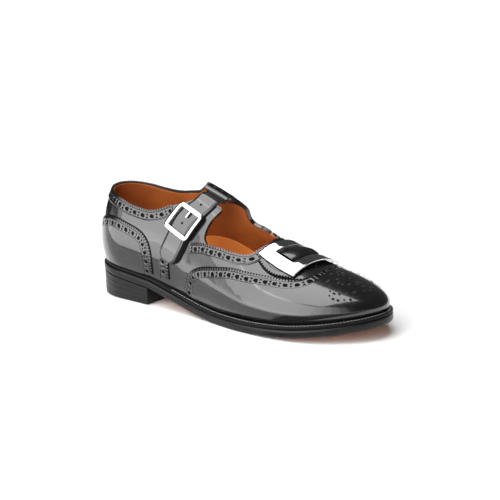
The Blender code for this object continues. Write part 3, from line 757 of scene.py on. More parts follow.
def bandPlan(length):
    bigSteps, smallSteps = band["bigSteps"], band["smallSteps"]
    unit = bigSteps + smallSteps
    units = max(1, round(length / (unit * band["step"])))
    steps = units * unit
    step = length / steps
    made = Plan()
    stations = [k * step for k in range(steps + 1)]
    low, high = band["zone"]
    first, second = band["rows"]
    half, groove, drop = band["grooveHalf"], band["groove"], band["edgeDrop"]

    def tooth(k):
        return band["tooth"] * (-band["toothOut"] if k % band["toothSteps"] else band["toothIn"])

    sides = ([lambda k: (tooth(k), -drop), lambda k: (first - half, 0.0), lambda k: (first, -groove),
              lambda k: (first + half, 0.0), lambda k: (low, 0.0)],
             [lambda k: (high, 0.0), lambda k: (second - half, 0.0), lambda k: (second, -groove),
              lambda k: (second + half, 0.0), lambda k: (band["width"], -drop)])
    for lines in sides:
        for a, b in zip(lines, lines[1:]):
            made.row(stations, a, b)
    middle = (low + high) / 2
    for unitAt in range(units):
        k = unitAt * unit
        s0, s1, s2 = k * step, (k + bigSteps) * step, (k + bigSteps + smallSteps) * step
        made.hole(s0, s1, low, high, bigSteps, bigSteps, band["bigHole"])
        for a, b in ((low, middle), (middle, high)):
            made.hole(s1, s2, a, b, smallSteps, bigSteps // 2, band["smallHole"])
    return np.array(made.points), made.faces


def bandOn(path, start, end, side, level):
    # a punched band beside a path: side is 1 to the left of its direction and -1 to the right
    points, faces = bandPlan(end - start)
    spots = beside(path, start + points[:, 0], side * points[:, 1])
    height = tabLift(spots) + level
    if side < 0:
        faces = [face[::-1] for face in faces]
    return thicken(onSkin(spots, height + points[:, 2]), onSkin(spots, height - band["thick"]), faces)


def stitchesOn(path, v, start, end, level):
    # a row of short thread stitches, each a small spindle lying in its groove
    count = max(1, int((end - start) / stitch["pitch"]))
    s = start + (np.arange(count) + 0.5) * (end - start) / count
    stations = np.array(stitch["stations"]) * stitch["long"]
    rings = len(stations)
    spots = beside(path, s[:, None] + stations[None], np.full((count, rings), v))
    centre = onSkin(spots, tabLift(spots) + level)
    normal = skinNormalAt(spots)
    along = np.gradient(centre, axis=1)
    along /= np.linalg.norm(along, axis=-1, keepdims=True)
    sideways = np.cross(normal, along)
    around = stitch["around"]
    angle = 2 * np.pi * np.arange(around) / around
    ring = (sideways[:, :, None] * np.cos(angle)[:, None] + normal[:, :, None] * np.sin(angle)[:, None])
    girth = stitch["wide"] * np.array(stitch["girth"])
    points = centre[:, :, None] + ring * girth[None, :, None, None]
    faces = []
    for i in range(count):
        base = i * rings * around
        for j in range(rings - 1):
            near, far = base + j * around, base + (j + 1) * around
            faces += [[far + k, far + (k + 1) % around, near + (k + 1) % around, near + k]
                      for k in range(around)]
        faces.append([base + k for k in range(around)])
        faces.append([base + (rings - 1) * around + k for k in range(around)][::-1])
    return points.reshape(-1, 3), faces


def stripOn(path, start, end, v0, v1, high, low, step=0.002, columns=3):
    # a plain strip beside a path
    s = np.linspace(start, end, max(2, int((end - start) / step)))
    v = np.linspace(v0, v1, columns)
    spots = beside(path, s[:, None] + 0 * v[None], v[None] + 0 * s[:, None])
    lift = tabLift(spots)
    faces = gridFaces(len(s), columns)
    if v1 < v0:
        faces = [face[::-1] for face in faces]
    return thicken(onSkin(spots, lift + high).reshape(-1, 3), onSkin(spots, lift + low).reshape(-1, 3),
                   faces)


def pathLength(path):
    return float(path["run"][-1])


def bandAndStitches(name, runs):
    # runs: a path, how far the band stops short of its start and end, its side and its level
    strips, threads, paintedShades = [], [], []
    for path, (start, short), side, level in runs:
        end = pathLength(path) - short
        # painted shade: matt black strips under the band, seen through its holes, and past its teeth
        for key in ("under", "past") if name in band["pastNames"] else ("under",):
            v0, v1, high = band[key]
            paintedShades.append(stripOn(path, start, end, side * v0, side * v1, high, band["foot"]))
        strips.append(bandOn(path, start, end, side, level))
        trim = band["threadTrim"]
        for v in band["rows"]:
            threads.append(stitchesOn(path, side * v, start + trim, end - trim,
                                      level - band["groove"] + band["threadUp"]))
    addPiece(name, *merged(strips), looks["upper"], "upper_leather")
    addPiece(name + "_backing", *merged(paintedShades), looks["backing"], "upper_leather")
    addPiece(name + "_thread", *merged(threads), looks["thread"], "upper_leather")


def innerOutline(path, side, v):
    # the spots of a line beside a path, to cut a panel that ends under the band
    run = np.linspace(0, pathLength(path), int(pathLength(path) / 0.0015))
    return beside(path, run, np.full(len(run), side * v))


# Sole, welt, heel and insole. Profiles are pairs of an inset from the outline and a height.
sole = {
    "stations": 150, "thick": 0.0069, "gap": 0.0003, "blend": 0.02,
    # x, and how far the sole stands out there on the lateral and on the medial side
    "margin": ((-0.01, 0.0025, 0.0025), (0.05, 0.0030, 0.0030), (0.09, 0.0040, 0.0030),
               (0.13, 0.0055, 0.0030), (0.18, 0.0070, 0.0055), (0.23, 0.0072, 0.0070),
               (0.30, 0.0070, 0.0070)),
    "treadInset": 0.0042, "rebate": ((0.0004, 0.0007), (0.0, 0.0)),
    "side": ((0.0026, 0.0), (0.0014, 0.00008), (0.0006, 0.0004), (0.0001, 0.0011), (0.0, 0.0026),
             (0.0, 0.0048), (0.0001, 0.0060), (0.0005, 0.0067), (0.0012, 0.0069)),
    "tread": ((0.0010, 0.00005), (0.0006, 0.0003), (0.0006, 0.0009)),
}


def footPlan():
    # the feather line in plan, from the heel by the lateral side, with outward directions
    x = uToX(np.linspace(0, 1, sole["stations"]))
    wide = roundedEnds(x)[0]
    centre = lastAt("centre", x)
    lateral = np.stack([x, centre + (lastAt("lateral", x) - centre) * wide], -1)
    medial = np.stack([x, centre + (lastAt("medial", x) - centre) * wide], -1)[::-1]
    loop = np.concatenate([lateral, medial[1:-1]])
    step = np.roll(loop, -1, 0) - np.roll(loop, 1, 0)
    normal = np.stack([step[:, 1], -step[:, 0]], -1)
    return loop, normal / np.linalg.norm(normal, axis=1, keepdims=True)


plan, planNormal = footPlan()


def soleLine(inset):
    # the sole's outline, set in by some distance
    x = plan[:, 0]
    side = np.clip((plan[:, 1] - lastAt("centre", x)) / sole["blend"] + 0.5, 0, 1)
    at, lateral, medial = (np.array(column) for column in zip(*sole["margin"]))
    out = np.interp(x, at, lateral) * (1 - side) + np.interp(x, at, medial) * side
    return plan + planNormal * (out - inset)[:, None]


def levelLoop(line, height):
    return np.column_stack([line, soleBottom(line[:, 0]) + height]) - origin


def capFaces(start, count, shift, flip):
    # closes a loop of points by strips that run from side to side
    faces = []
    for i in range((count - shift) // 2):
        ring = []
        for k in (i, i + 1, count - i - 1 - shift, (count - i - shift) % count):
            if k not in ring:
                ring.append(k)
        ring = [start + k for k in ring]
        faces.append(ring[::-1] if flip else ring)
    return faces


def loft(loops, shift=0):
    # loops from the bottom up, joined, and closed unless shift is None
    n = len(loops[0])
    faces = []
    for level in range(len(loops) - 1):
        a = level * n
        faces += [[a + i, a + (i + 1) % n, a + n + (i + 1) % n, a + n + i] for i in range(n)]
    if shift is not None:
        faces += capFaces(0, n, shift, True) + capFaces((len(loops) - 1) * n, n, shift, False)
    return np.concatenate(loops), faces


def makeSole():
    start = sole["treadInset"]
    rebate = [(start + inset, height) for inset, height in sole["rebate"]]
    loops = [levelLoop(soleLine(inset), height) for inset, height in rebate + list(sole["side"])]
    addPiece("outsole_body", *loft(loops), looks["edge"], "sole_edge", ["outsole"])
    loops = [levelLoop(soleLine(start + inset), height) for inset, height in sole["tread"]]
    addPiece("tread_leather", *loft(loops), looks["tread"], "sole_edge")


welt = {
    "thick": 0.0030, "inward": 0.0075,
    "profile": ((0.0009, 0.0), (0.0004, 0.00035), (0.0003, 0.0009), (0.0003, 0.0019), (0.0005, 0.0026),
                (0.0011, 0.0030), (0.0019, 0.0030), (0.0022, 0.00265), (0.0027, 0.00265),
                (0.0030, 0.0030)),
    "rearBack": 0.0013, "rearTo": 0.085, "rearFade": 0.05,    # it stands back round the heel
    "stitchInset": 0.0024, "stitchFrom": 0.095, "pitch": 0.0030, "around": 6,
    "stitch": (-0.0010, -0.0006, 0.0006, 0.0010), "girth": (0.4, 1, 1, 0.4),
    "stitchWide": 0.00048, "stitchHigh": 0.00042,
}


def makeWelt():
    low = sole["thick"] + sole["gap"]
    back = welt["rearBack"] * (1 - ease((plan[:, 0] - welt["rearTo"]) / welt["rearFade"]))
    loops = [levelLoop(soleLine(inset + back), low + height) for inset, height in welt["profile"]]
    inner = plan - planNormal * welt["inward"]
    loops += [levelLoop(inner, low + welt["thick"]), levelLoop(inner, low)]
    points, faces = loft(loops, None)
    n = len(plan)
    rear = (len(loops) - 1) * n
    faces += [[rear + i, rear + (i + 1) % n, (i + 1) % n, i] for i in range(n)]
    addPiece("welt_rim", points, faces, looks["welt"], "sole_edge", ["welt"])


def makeWeltStitches():
    # stitches on top of the welt round the forepart
    line = soleLine(welt["stitchInset"])
    up = np.array([0, 0, 1.0])
    girth = np.array(welt["girth"])[:, None]
    angles = np.linspace(0, 2 * math.pi, welt["around"], endpoint=False)
    profile = [(welt["stitchWide"] * math.cos(a), welt["stitchHigh"] * math.sin(a)) for a in angles]
    parts = []
    for side in (line[:sole["stations"]], line[sole["stations"]:][::-1]):
        side = side[side[:, 0] > welt["stitchFrom"]]
        points = levelLoop(side, sole["thick"] + sole["gap"] + welt["thick"])
        run = runAlong(points)
        count = int(run[-1] / welt["pitch"])
        for k in range(count):
            s = np.array(welt["stitch"]) + (k + 0.5) * run[-1] / count
            centre = np.stack([np.interp(s, run, points[:, c]) for c in range(3)], -1)
            along = centre[-1] - centre[0]
            along /= np.linalg.norm(along)
            parts.append(tube(centre, np.cross(up, along) * girth, up * girth, profile))
    addPiece("welt_thread", *merged(parts), looks["weltThread"], "sole_edge")


heel = {
    "inset": 0.0004, "corner": 0.0006, "middle": 0.55, "taper": 0.0008,
    # pairs of a share of the height and an inset
    "foot": [(0.0, 0.0012), (0.012, 0.0005), (0.035, 0.0)], "top": [(0.985, 0.0), (1.0, 0.0003)],
    "joints": (0.28, 0.52, 0.76),
    "groove": ((-0.012, 0.0), (-0.006, 0.00022), (0.006, 0.00022), (0.012, 0.0)),
}


def makeHeel():
    # a stack of lifts under a wear piece, with a fine groove at each joint
    breast = last["breastX"]
    line = soleLine(heel["inset"])
    half = len(line) // 2
    lateral = [p for p in line[:half] if p[0] < breast - heel["corner"]]
    medial = [p for p in np.roll(line[::-1], 1, 0)[1:half] if p[0] < breast - heel["corner"]]
    ends = [(breast, np.interp(breast, line[:half, 0], line[:half, 1])),
            (breast, np.interp(breast, line[half:][::-1, 0], line[half:][::-1, 1]))]
    rim = np.array([ends[1]] + medial[::-1] + lateral + [ends[0]])
    away = rim - np.array([breast * heel["middle"], 0.0])
    away /= np.linalg.norm(away, axis=1, keepdims=True)
    grooves = [(joint + share, inset) for joint in heel["joints"] for share, inset in heel["groove"]]
    loops = []
    for share, inset in heel["foot"] + grooves + heel["top"]:
        flat = rim - away * (inset + heel["taper"] * (1 - share))
        flat[:, 0] = np.minimum(flat[:, 0], breast)
        z = (soleBottom(rim[:, 0]) - sole["gap"]) * share
        loops.append(np.column_stack([flat, z]) - origin)
    addPiece("heel_stack", *loft(loops, 1), looks["edge"], "heel_stack", ["heel"])


insole = {"profile": ((0.0036, 0.0), (0.0034, 0.0028), (0.0050, 0.0031), (0.0090, 0.0030))}


def makeInsole():
    loops = [levelLoop(plan - planNormal * inset, last["feather"] + height)
             for inset, height in insole["profile"]]
    addPiece("insole_sheet", *loft(loops), looks["insole"], "insole_leather", ["insole"])


# Upper
upper = {
    "wall": 0.0024, "outer": 0.0012, "overlay": 0.0013, "under": 0.0003, "aboveWelt": 0.0012,
    "liningDeeper": 0.00005, "liningShort": 0.0006, "litPatch": (0.0001, 0.0009), "join": 8e-5,
    # painted light: the upper edge of a bright sheet in the insole's tan laid up the medial wall inside,
    # where light falls in through the throat
    "litPatchEdge": [(0.058, 1.02), (0.066, 0.93), (0.078, 0.85), (0.092, 0.770), (0.102, 0.735),
                 (0.113, 0.710), (0.125, 0.700), (0.136, 0.708), (0.145, 0.725), (0.152, 0.752),
                 (0.165, 0.81), (0.178, 0.90), (0.186, 1.02)],
    "litPatchFoot": [[0.60, 1.1], [0.29, 1.1]],
}
# where the medial tab is raised, in x and in w: the start, the rise, the end and the fall
tabRise = {"height": 0.0024, "x": (0.085, 0.02, 0.166, 0.014), "w": (-0.22, 0.04, 0.40, 0.28)}


def tabLift(spots):
    # the medial tab lies one layer higher, on the strap
    lift = tabRise["height"]
    for place, key in ((uToX(spots[..., 0]), "x"), (spots[..., 1], "w")):
        start, rise, end, fall = tabRise[key]
        lift = lift * ease((place - start) / rise) * ease((end - place) / fall)
    return lift


def addSheet(name, spots, faces, high, low, look, slot, replaced=()):
    lift = tabLift(spots)
    points, rings = thicken(onSkin(spots, lift + high), onSkin(spots, lift + low), faces)
    return addPiece(name, points, rings, looks[look], slot, replaced, join=upper["join"])


def makeUpper():
    spots, faces = cutPanel(upperRegion)
    addSheet("upper_body", spots, faces, 0.0, -upper["outer"], "upper", "upper_leather",
             ["quarters", "vamp"])
    # painted light: a bright tan sheet on the medial wall for the pool of light that falls in through the
    # throat
    litPatch = np.concatenate([layPath(upper["litPatchEdge"], 0.002)["spots"], upper["litPatchFoot"]])
    spots, faces = cutPanel(lambda spots: insideOutline(spots, litPatch, spread), 3)
    high, low = (-upper["wall"] - depth for depth in upper["litPatch"])
    addSheet("painted_light_patch", spots, faces, high, low, "insole", "insole_leather")
    spots, faces = cutPanel(lambda spots: upperRegion(spots) - upper["liningShort"], 3)
    addSheet("lining_sheet", spots, faces, -upper["outer"] - upper["liningDeeper"], -upper["wall"],
             "lining", "insole_leather")
    for name, path, side, beyond, node in (("wing_toe", wingPath, -1, 1.05, "wing_cap"),
                                           ("counter_panel", counterPath, 1, -0.05, "heel_counter")):
        edge = np.concatenate([innerOutline(path, side, panelTuck), [[beyond, 1.3], [beyond, -1.3]]])
        spots, faces = cutPanel(lambda spots: np.minimum(insideOutline(spots, edge, spread),
                                                         aboveWelt(spots, upper["aboveWelt"])))
        addSheet(name, spots, faces, upper["overlay"], upper["under"], "upper", "upper_leather", [node])


# Bands and trims: each run stops short of its path's start and end by two lengths
bandEnds = {
    "wing": (0.004, 0.004), "counter": (0.004, 0.004), "collar": (0.030, 0.004),
    "throat": (0.002, 0.001), "behind": (0.0009, 0.0), "foot": (0.0, 0.0),
    "tabEnd": (0.0005, 0.0005), "tabFront": (0.0015, 0.001),
}
bandLevel = {"quarter": 0.0009, "tab": 0.0010}
behindThroat = [(0.1345, -0.603), (0.1335, -0.606), (0.1250, -0.634), (0.1165, -0.664)]
footStrip = [(0.0875, -0.845), (0.0880, -0.90), (0.0885, -0.965)]


def makeBands():
    level, quarter = upper["overlay"], bandLevel["quarter"]
    bandAndStitches("wing_band", [(wingPath, bandEnds["wing"], -1, level)])
    bandAndStitches("counter_band", [(counterPath, bandEnds["counter"], 1, level)])
    collar = layPath(openingRuns["collar"])
    bandAndStitches("collar_band", [(collar, bandEnds["collar"], 1, quarter)])
    throat = layPath(openingRuns["throat"])
    bandAndStitches("throat_band", [(throat, bandEnds["throat"], 1, quarter),
                                    (layPath(behindThroat), bandEnds["behind"], 1, quarter)])


cutEdge = {"runs": ("tabEnd", "tabFront", "horn", "hornTop"), "trim": 0.0003,
           "across": (-0.0009, 0.0003), "high": 0.00085, "low": -0.0026, "step": 0.0015}
heelStrip = {"x": (0.0080, 0.0050, 0.0030, 0.0012, 0.0004), "half": 0.0045, "high": 0.0010,
             "low": -0.0002, "step": 0.001, "columns": 9,
             "threadOut": 0.0033, "threadTrim": 0.001, "threadLevel": 0.00105}


def makeTrims():
    # the strips down to the sole below the strap, the end of the tab, and the strip up the heel
    runs = []
    for sign in (-1, 1):
        strip = layPath([(x, -sign * w) for x, w in footStrip])
        out = -sign * band["width"] / 2
        ends = beside(strip, [0.0, pathLength(strip)], [out, out])
        path = pathFrom(np.linspace(ends[0], ends[1], 40))
        runs.append((path, bandEnds["foot"], sign, upper["overlay"]))
    bandAndStitches("foot_strip", runs)
    for name, run in (("tab_end_band", "tabEnd"), ("tab_front_band", "tabFront")):
        bandAndStitches(name, [(layPath(openingRuns[run]), bandEnds[run], 1, bandLevel["tab"])])
    edges = []
    for run in cutEdge["runs"]:
        path, trim = layPath(openingRuns[run]), cutEdge["trim"]
        edges.append(stripOn(path, trim, pathLength(path) - trim, *cutEdge["across"], cutEdge["high"],
                             cutEdge["low"], cutEdge["step"]))
    addPiece("cut_edges", *merged(edges), looks["upper"], "upper_leather", sharp=80)
    back = layPath([(x, 0.0) for x in heelStrip["x"]])
    strip = stripOn(back, 0.0, pathLength(back), -heelStrip["half"], heelStrip["half"],
                    heelStrip["high"], heelStrip["low"], heelStrip["step"], heelStrip["columns"])
    addPiece("heel_strip", *strip, looks["upper"], "upper_leather")
    trim = heelStrip["threadTrim"]
    threads = [stitchesOn(back, sign * heelStrip["threadOut"], trim, pathLength(back) - trim,
                          heelStrip["threadLevel"]) for sign in (-1, 1)]
    addPiece("heel_strip_thread", *merged(threads), looks["thread"], "upper_leather")


# a punched hole: rings of a raised rim as (share of its size, height), and a matt black disc in it,
# painted shade that stands for the hole's depth
eyelet = {"around": 14, "floor": 1.05, "shadeDiscHigh": 0.00003, "shadeDiscLow": 0.00022,
          "rim": ((1.45, -0.00025), (1.35, 0.00006), (1.15, 0.00016), (1.0, 0.00006), (1.0, -0.00025))}


def addEyelets(name, spots, sizes, level, slot):
    # punched holes at (x, w) spots
    rims, shadeDiscs = [], []
    centres = spotsOf(np.array(spots))
    n, count = eyelet["around"], len(eyelet["rim"])
    angle = 2 * np.pi * np.arange(n) / n
    for size, p, up in zip(sizes, onSkin(centres, level), skinNormalAt(centres)):
        side = np.cross(up, (1.0, 0.0, 0.0))
        side /= np.linalg.norm(side)
        ray = np.cos(angle)[:, None] * side + np.sin(angle)[:, None] * np.cross(up, side)
        rings = [p + ray * size * r + up * h for r, h in eyelet["rim"]]
        faces = []
        for j in range(count):
            near, far = j * n, ((j + 1) % count) * n
            faces += [[near + q, near + (q + 1) % n, far + (q + 1) % n, far + q] for q in range(n)]
        rims.append((np.concatenate(rings), faces))
        # painted shade: a matt black disc laid over the hole
        flat = ray * size * eyelet["floor"] + p
        faces = [list(range(n)), [n + q for q in range(n)][::-1]]
        faces += [[(q + 1) % n, q, n + q, n + (q + 1) % n] for q in range(n)]
        shadeDiscs.append((np.concatenate([flat + up * eyelet["shadeDiscHigh"], flat - up * eyelet["shadeDiscLow"]]),
                       faces))
    addPiece(name, *merged(rims), looks["upper"], slot, sharp=80)
    addPiece(name + "_holes", *merged(shadeDiscs), looks["backing"], slot)


medallion = {
    # count, first x, length, w at the ends, swell in w and its power
    "curves": ((9, 0.2440, 0.028, 0.10, 0.34, 0.8), (6, 0.2480, 0.0165, 0.04, 0.17, 1)),
    "sideRow": (5, 0.2560, 0.0035, 0.50, 0.05),      # count, first x, pitch, w and its wave
    "middleRow": (6, 0.2450, 0.0058), "big": 0.00105, "small": 0.00075,
}


def makeEyelets():
    # the toe's medallion: small punched holes with a raised rim, set out in curves
    spots = []
    for turn in (-1, 1):
        for count, start, length, out, swell, power in medallion["curves"]:
            for k in range(count):
                a = k / (count - 1)
                w = out + swell * math.sin(math.pi * a) ** power
                spots.append((start + length * a, turn * w))
        count, start, pitch, out, wave = medallion["sideRow"]
        spots += [(start + pitch * k, turn * (out + wave * math.sin(k))) for k in range(count)]
    count, start, pitch = medallion["middleRow"]
    spots += [(start + pitch * k, 0.0) for k in range(count)]
    sizes = [medallion["big"] if k % 3 else medallion["small"] for k in range(len(spots))]
    addEyelets("toe_medallion", spots, sizes, upper["overlay"], "upper_leather")


# Strap and buckles
strap = {
    "path": [(0.1285, 0.02), (0.1270, -0.05), (0.1250, -0.12), (0.1190, -0.33), (0.1105, -0.46),
             (0.1050, -0.55), (0.1005, -0.67), (0.0955, -0.77), (0.0910, -0.85)],
    "stations": 110, "half": 0.0100, "thick": 0.0020, "lift": 0.0005, "gap": 0.0003,
    # across it: pairs of an inset and a drop at each edge, with the stitched groove among them
    "edge": ((0.0, 0.0009), (0.0003, 0.0004), (0.0008, 0.0001), (0.0016, 0.0), (0.0019, 0.0004),
             (0.0022, 0.0), (0.0030, 0.0)),
    "columns": 9, "groove": 0.0004, "dipFrom": -0.235, "dipRun": 0.105,
    "tipLength": 0.0075, "tipNarrow": 0.0052, "endDrop": 0.0008, "endRun": 0.0010,
    "threadFrom": 0.030, "threadShort": 0.0060, "threadInset": 0.0019, "threadUp": 0.0001,
    "holes": [(0.1180, -0.340), (0.1100, -0.470), (0.1050, -0.555)], "holeSize": 0.0010,
}
strapPath = layPath(strap["path"], 0.0005)
strapEnd = strapPath["run"][-1]


def strapLevel(w):
    # underside of the strap above the last: on the quarter, then below the tab
    fall = strap["thick"] + strap["lift"] + 2 * strap["gap"]
    return strap["lift"] - fall * ease((w - strap["dipFrom"]) / strap["dipRun"])


def strapHalf(left):
    # half its width where this much is left of it
    return strap["half"] - strap["tipNarrow"] * np.clip(1 - left / strap["tipLength"], 0, 1) ** 2.0


def makeStrap():
    # rounded at its edges, with a stitched groove inside them
    s = np.linspace(0, strapEnd, strap["stations"])
    left = strapEnd - s
    half = strapHalf(left)
    edge = strap["edge"]
    columns = [(-half + inset, fall) for inset, fall in edge]
    columns += [(t * (half - edge[-1][0]), 0.0) for t in np.linspace(-1, 1, strap["columns"])[1:-1]]
    columns += [(half - inset, fall) for inset, fall in edge[::-1]]
    v = np.stack([across for across, fall in columns], -1)
    drops = np.array([fall for across, fall in columns])
    spots = beside(strapPath, np.repeat(s[:, None], v.shape[1], 1), v)
    level = strapLevel(spots[..., 1])
    endDrop = strap["endDrop"] * np.clip(1 - left / strap["endRun"], 0, 1)[:, None] ** 2
    top = onSkin(spots, level + strap["thick"] - drops - endDrop).reshape(-1, 3)
    bottom = onSkin(spots, level).reshape(-1, 3)
    points, rings = thicken(top, bottom, gridFaces(*v.shape))
    addPiece("strap_leather", points, rings, looks["upper"], "strap_leather", ["instep_strap"], 50)
    level = strap["lift"] + strap["thick"] - strap["groove"] + strap["threadUp"]
    threads = [stitchesOn(strapPath, side * (strap["half"] - strap["threadInset"]), strap["threadFrom"],
                          strapEnd - strap["threadShort"], level) for side in (-1, 1)]
    addPiece("strap_thread", *merged(threads), looks["thread"], "strap_leather")


strapShade = {
    "stations": 90, "from": 0.0215, "short": 0.0015, "out": 0.0044, "fade": 0.0090, "rise": 0.012,
    "inside": 0.0020, "across": (0.0, 0.25, 0.5, 0.7, 0.85, 0.95, 1.0),
    "edgeHigh": 0.0001, "high": 0.0017, "low": -0.0002,
}


def makeStrapShade():
    # painted shade: a matt black strip that shows along the strap's front side down to the tip, for the
    # shadow under its raised edge
    start, stop = strapShade["from"], strapEnd - strapShade["short"]
    s = np.linspace(start, stop, strapShade["stations"])
    half = strapHalf(strapEnd - s)
    out = strapShade["out"] * np.sqrt(np.clip((stop - s) / strapShade["fade"], 0, 1))
    out = out * ease((s - start) / strapShade["rise"])
    across = np.array(strapShade["across"])
    inside = strapShade["inside"]
    v = (half - inside)[:, None] + (inside + out)[:, None] * across[None]
    spots = beside(strapPath, np.repeat(s[:, None], len(across), 1), v)
    high = strapShade["edgeHigh"] + strapShade["high"] * np.sqrt(1 - across ** 2)[None] + 0 * s[:, None]
    points, rings = thicken(onSkin(spots, high).reshape(-1, 3),
                            onSkin(spots, strapShade["low"]).reshape(-1, 3), gridFaces(*v.shape))
    addPiece("strap_painted_shade", points, rings, looks["backing"], "strap_leather")


def makeStrapHoles():
    sizes = [strap["holeSize"]] * len(strap["holes"])
    addEyelets("strap_holes", strap["holes"], sizes, strap["lift"] + strap["thick"], "strap_leather")


buckle = {"corners": ((0.0995, -0.385), (0.1260, -0.415), (0.1130, -0.672), (0.0862, -0.632)),
          "middle": (0.106, -0.52), "bar": 0.0042, "thick": 0.0022, "squareness": 11.0,
          "stations": 96, "around": 12, "barSquareness": 3}
pin = {"across": 0.02, "down": (-0.88, -0.28), "stations": 12, "up": 0.0002, "wide": 0.0013,
       "high": 0.0010, "around": 10, "taperAt": [0, 0.7, 1], "taper": [1.0, 0.9, 0.55]}


def onBuckle(s, t, height):
    # s runs across the top bar and t down the strap, both -1 to 1; heights count from the skin
    a, b, c, d = (onSkin(spotsOf(p), 0.0) for p in buckle["corners"])
    s, t = np.asarray(s)[..., None], np.asarray(t)[..., None]
    flat = ((a * (1 - s) + b * (1 + s)) * (1 - t) + (d * (1 - s) + c * (1 + s)) * (1 + t)) / 4
    spots = settle(flat, np.broadcast_to(spotsOf(buckle["middle"]), flat.shape[:-1] + (2,)))
    return onSkin(spots, height), spots


def superRadius(angle, power):
    # how far out a square with rounded corners reaches, for a half width of one
    return (np.abs(np.cos(angle)) ** power + np.abs(np.sin(angle)) ** power) ** (-1 / power)


def makeBuckle():
    count, around, bar = buckle["stations"], buckle["around"], buckle["bar"]
    a, b, c, d = (onSkin(spotsOf(p), 0.0) for p in buckle["corners"])
    half = np.array([np.linalg.norm(b - a + c - d) / 4, np.linalg.norm(d - a + c - b) / 4])
    angle = np.linspace(0, 2 * np.pi, count, endpoint=False)
    radius = superRadius(angle, buckle["squareness"])
    ring = np.stack([np.cos(angle), np.sin(angle)], -1) * radius[:, None] * (half - bar / 2)
    step = np.roll(ring, -1, 0) - np.roll(ring, 1, 0)
    out = np.stack([step[:, 1], -step[:, 0]], -1)
    out /= np.linalg.norm(out, axis=1, keepdims=True)
    base = strap["lift"] + strap["thick"] + 2 * strap["gap"] + buckle["thick"] / 2
    rings = []
    for k in range(around):
        turn = 2 * np.pi * k / around
        r = superRadius(turn, buckle["barSquareness"])
        flat = (ring + out * (np.cos(turn) * r * bar / 2)) / half
        rings.append(onBuckle(flat[:, 0], flat[:, 1], base + np.sin(turn) * r * buckle["thick"] / 2)[0])
    points = np.stack(rings, 1).reshape(-1, 3)
    faces = []
    for i in range(count):
        near, far = i * around, (i + 1) % count * around
        faces += [[near + k, near + (k + 1) % around, far + (k + 1) % around, far + k]
                  for k in range(around)]
    addPiece("buckle_frame", points, faces, looks["metal"], "polished_metal", ["instep_buckle"], 60)
    t = np.linspace(*pin["down"], pin["stations"])
    centres, spots = onBuckle(0 * t + pin["across"], t, base + pin["up"])
    normal = skinNormalAt(spots)
    along = np.gradient(centres, axis=0)
    along /= np.linalg.norm(along, axis=1, keepdims=True)
    wide = np.interp(np.linspace(0, 1, pin["stations"]), pin["taperAt"], pin["taper"])[:, None]
    profile = [(pin["wide"] * math.cos(a), pin["high"] * math.sin(a))
               for a in np.linspace(0, 2 * np.pi, pin["around"], False)]
    points, faces = tube(centres, np.cross(normal, along) * wide, normal * wide, profile)
    addPiece("buckle_pin", points, faces, looks["metal"], "polished_metal", ["buckle_prong"], 60)


vampTab = {
    "edge": [(0.187, -0.40), (0.196, -0.445), (0.207, -0.455), (0.219, -0.42), (0.229, -0.38),
             (0.2325, -0.30), (0.2335, 0.00), (0.2325, 0.28), (0.229, 0.35), (0.219, 0.38),
             (0.207, 0.40), (0.196, 0.39), (0.187, 0.34), (0.1865, 0.00), (0.187, -0.40)],
    "high": 0.0017, "low": 0.0003, "pitch": 0.0026, "teeth": (-0.0014, 0.0012),
    "teethInside": 0.0032, "teethHigh": 0.00172,
    "shadeTrim": 0.0003, "shadeAcross": (-0.0022, 0.0025), "shadeHigh": 0.0006, "shadeLow": -0.0002,
    "threadIn": 0.0036, "threadShort": 0.002, "threadLevel": 0.00175,
}


def makeTab():
    outline = layPath(vampTab["edge"], 0.002)["spots"][:-1]
    spots, faces = cutPanel(lambda spots: insideOutline(spots, outline, spread))
    addSheet("vamp_tab_leather", spots, faces, vampTab["high"], vampTab["low"], "upper",
             "upper_leather", ["vamp_tab"])


def makeTabEdge():
    # heavy teeth along the sides and the front of the tab
    outline = layPath(vampTab["edge"], 0.0005)
    length = pathLength(outline)
    n = 2 * int(length / vampTab["pitch"])
    s = np.linspace(0, length, n, endpoint=False)
    outer = beside(outline, s, np.where(np.arange(n) % 2, *vampTab["teeth"]))
    spots = np.concatenate([outer, beside(outline, s, np.full(n, vampTab["teethInside"]))])
    faces = [[k, (k + 1) % n, n + (k + 1) % n, n + k] for k in range(n)]
    points, rings = thicken(onSkin(spots, vampTab["teethHigh"]), onSkin(spots, vampTab["low"]), faces)
    # painted shade: a matt black strip along the tab's toothed edge
    trim = vampTab["shadeTrim"]
    rim = stripOn(outline, trim, length - trim, *vampTab["shadeAcross"], vampTab["shadeHigh"],
                  vampTab["shadeLow"])
    addPiece("vamp_tab_shade", *rim, looks["backing"], "upper_leather")
    addPiece("vamp_tab_teeth", points, rings, looks["upper"], "upper_leather")
    thread = stitchesOn(outline, vampTab["threadIn"], 0.0, length - vampTab["threadShort"],
                        vampTab["threadLevel"])
    addPiece("vamp_tab_thread", *thread, looks["thread"], "upper_leather")


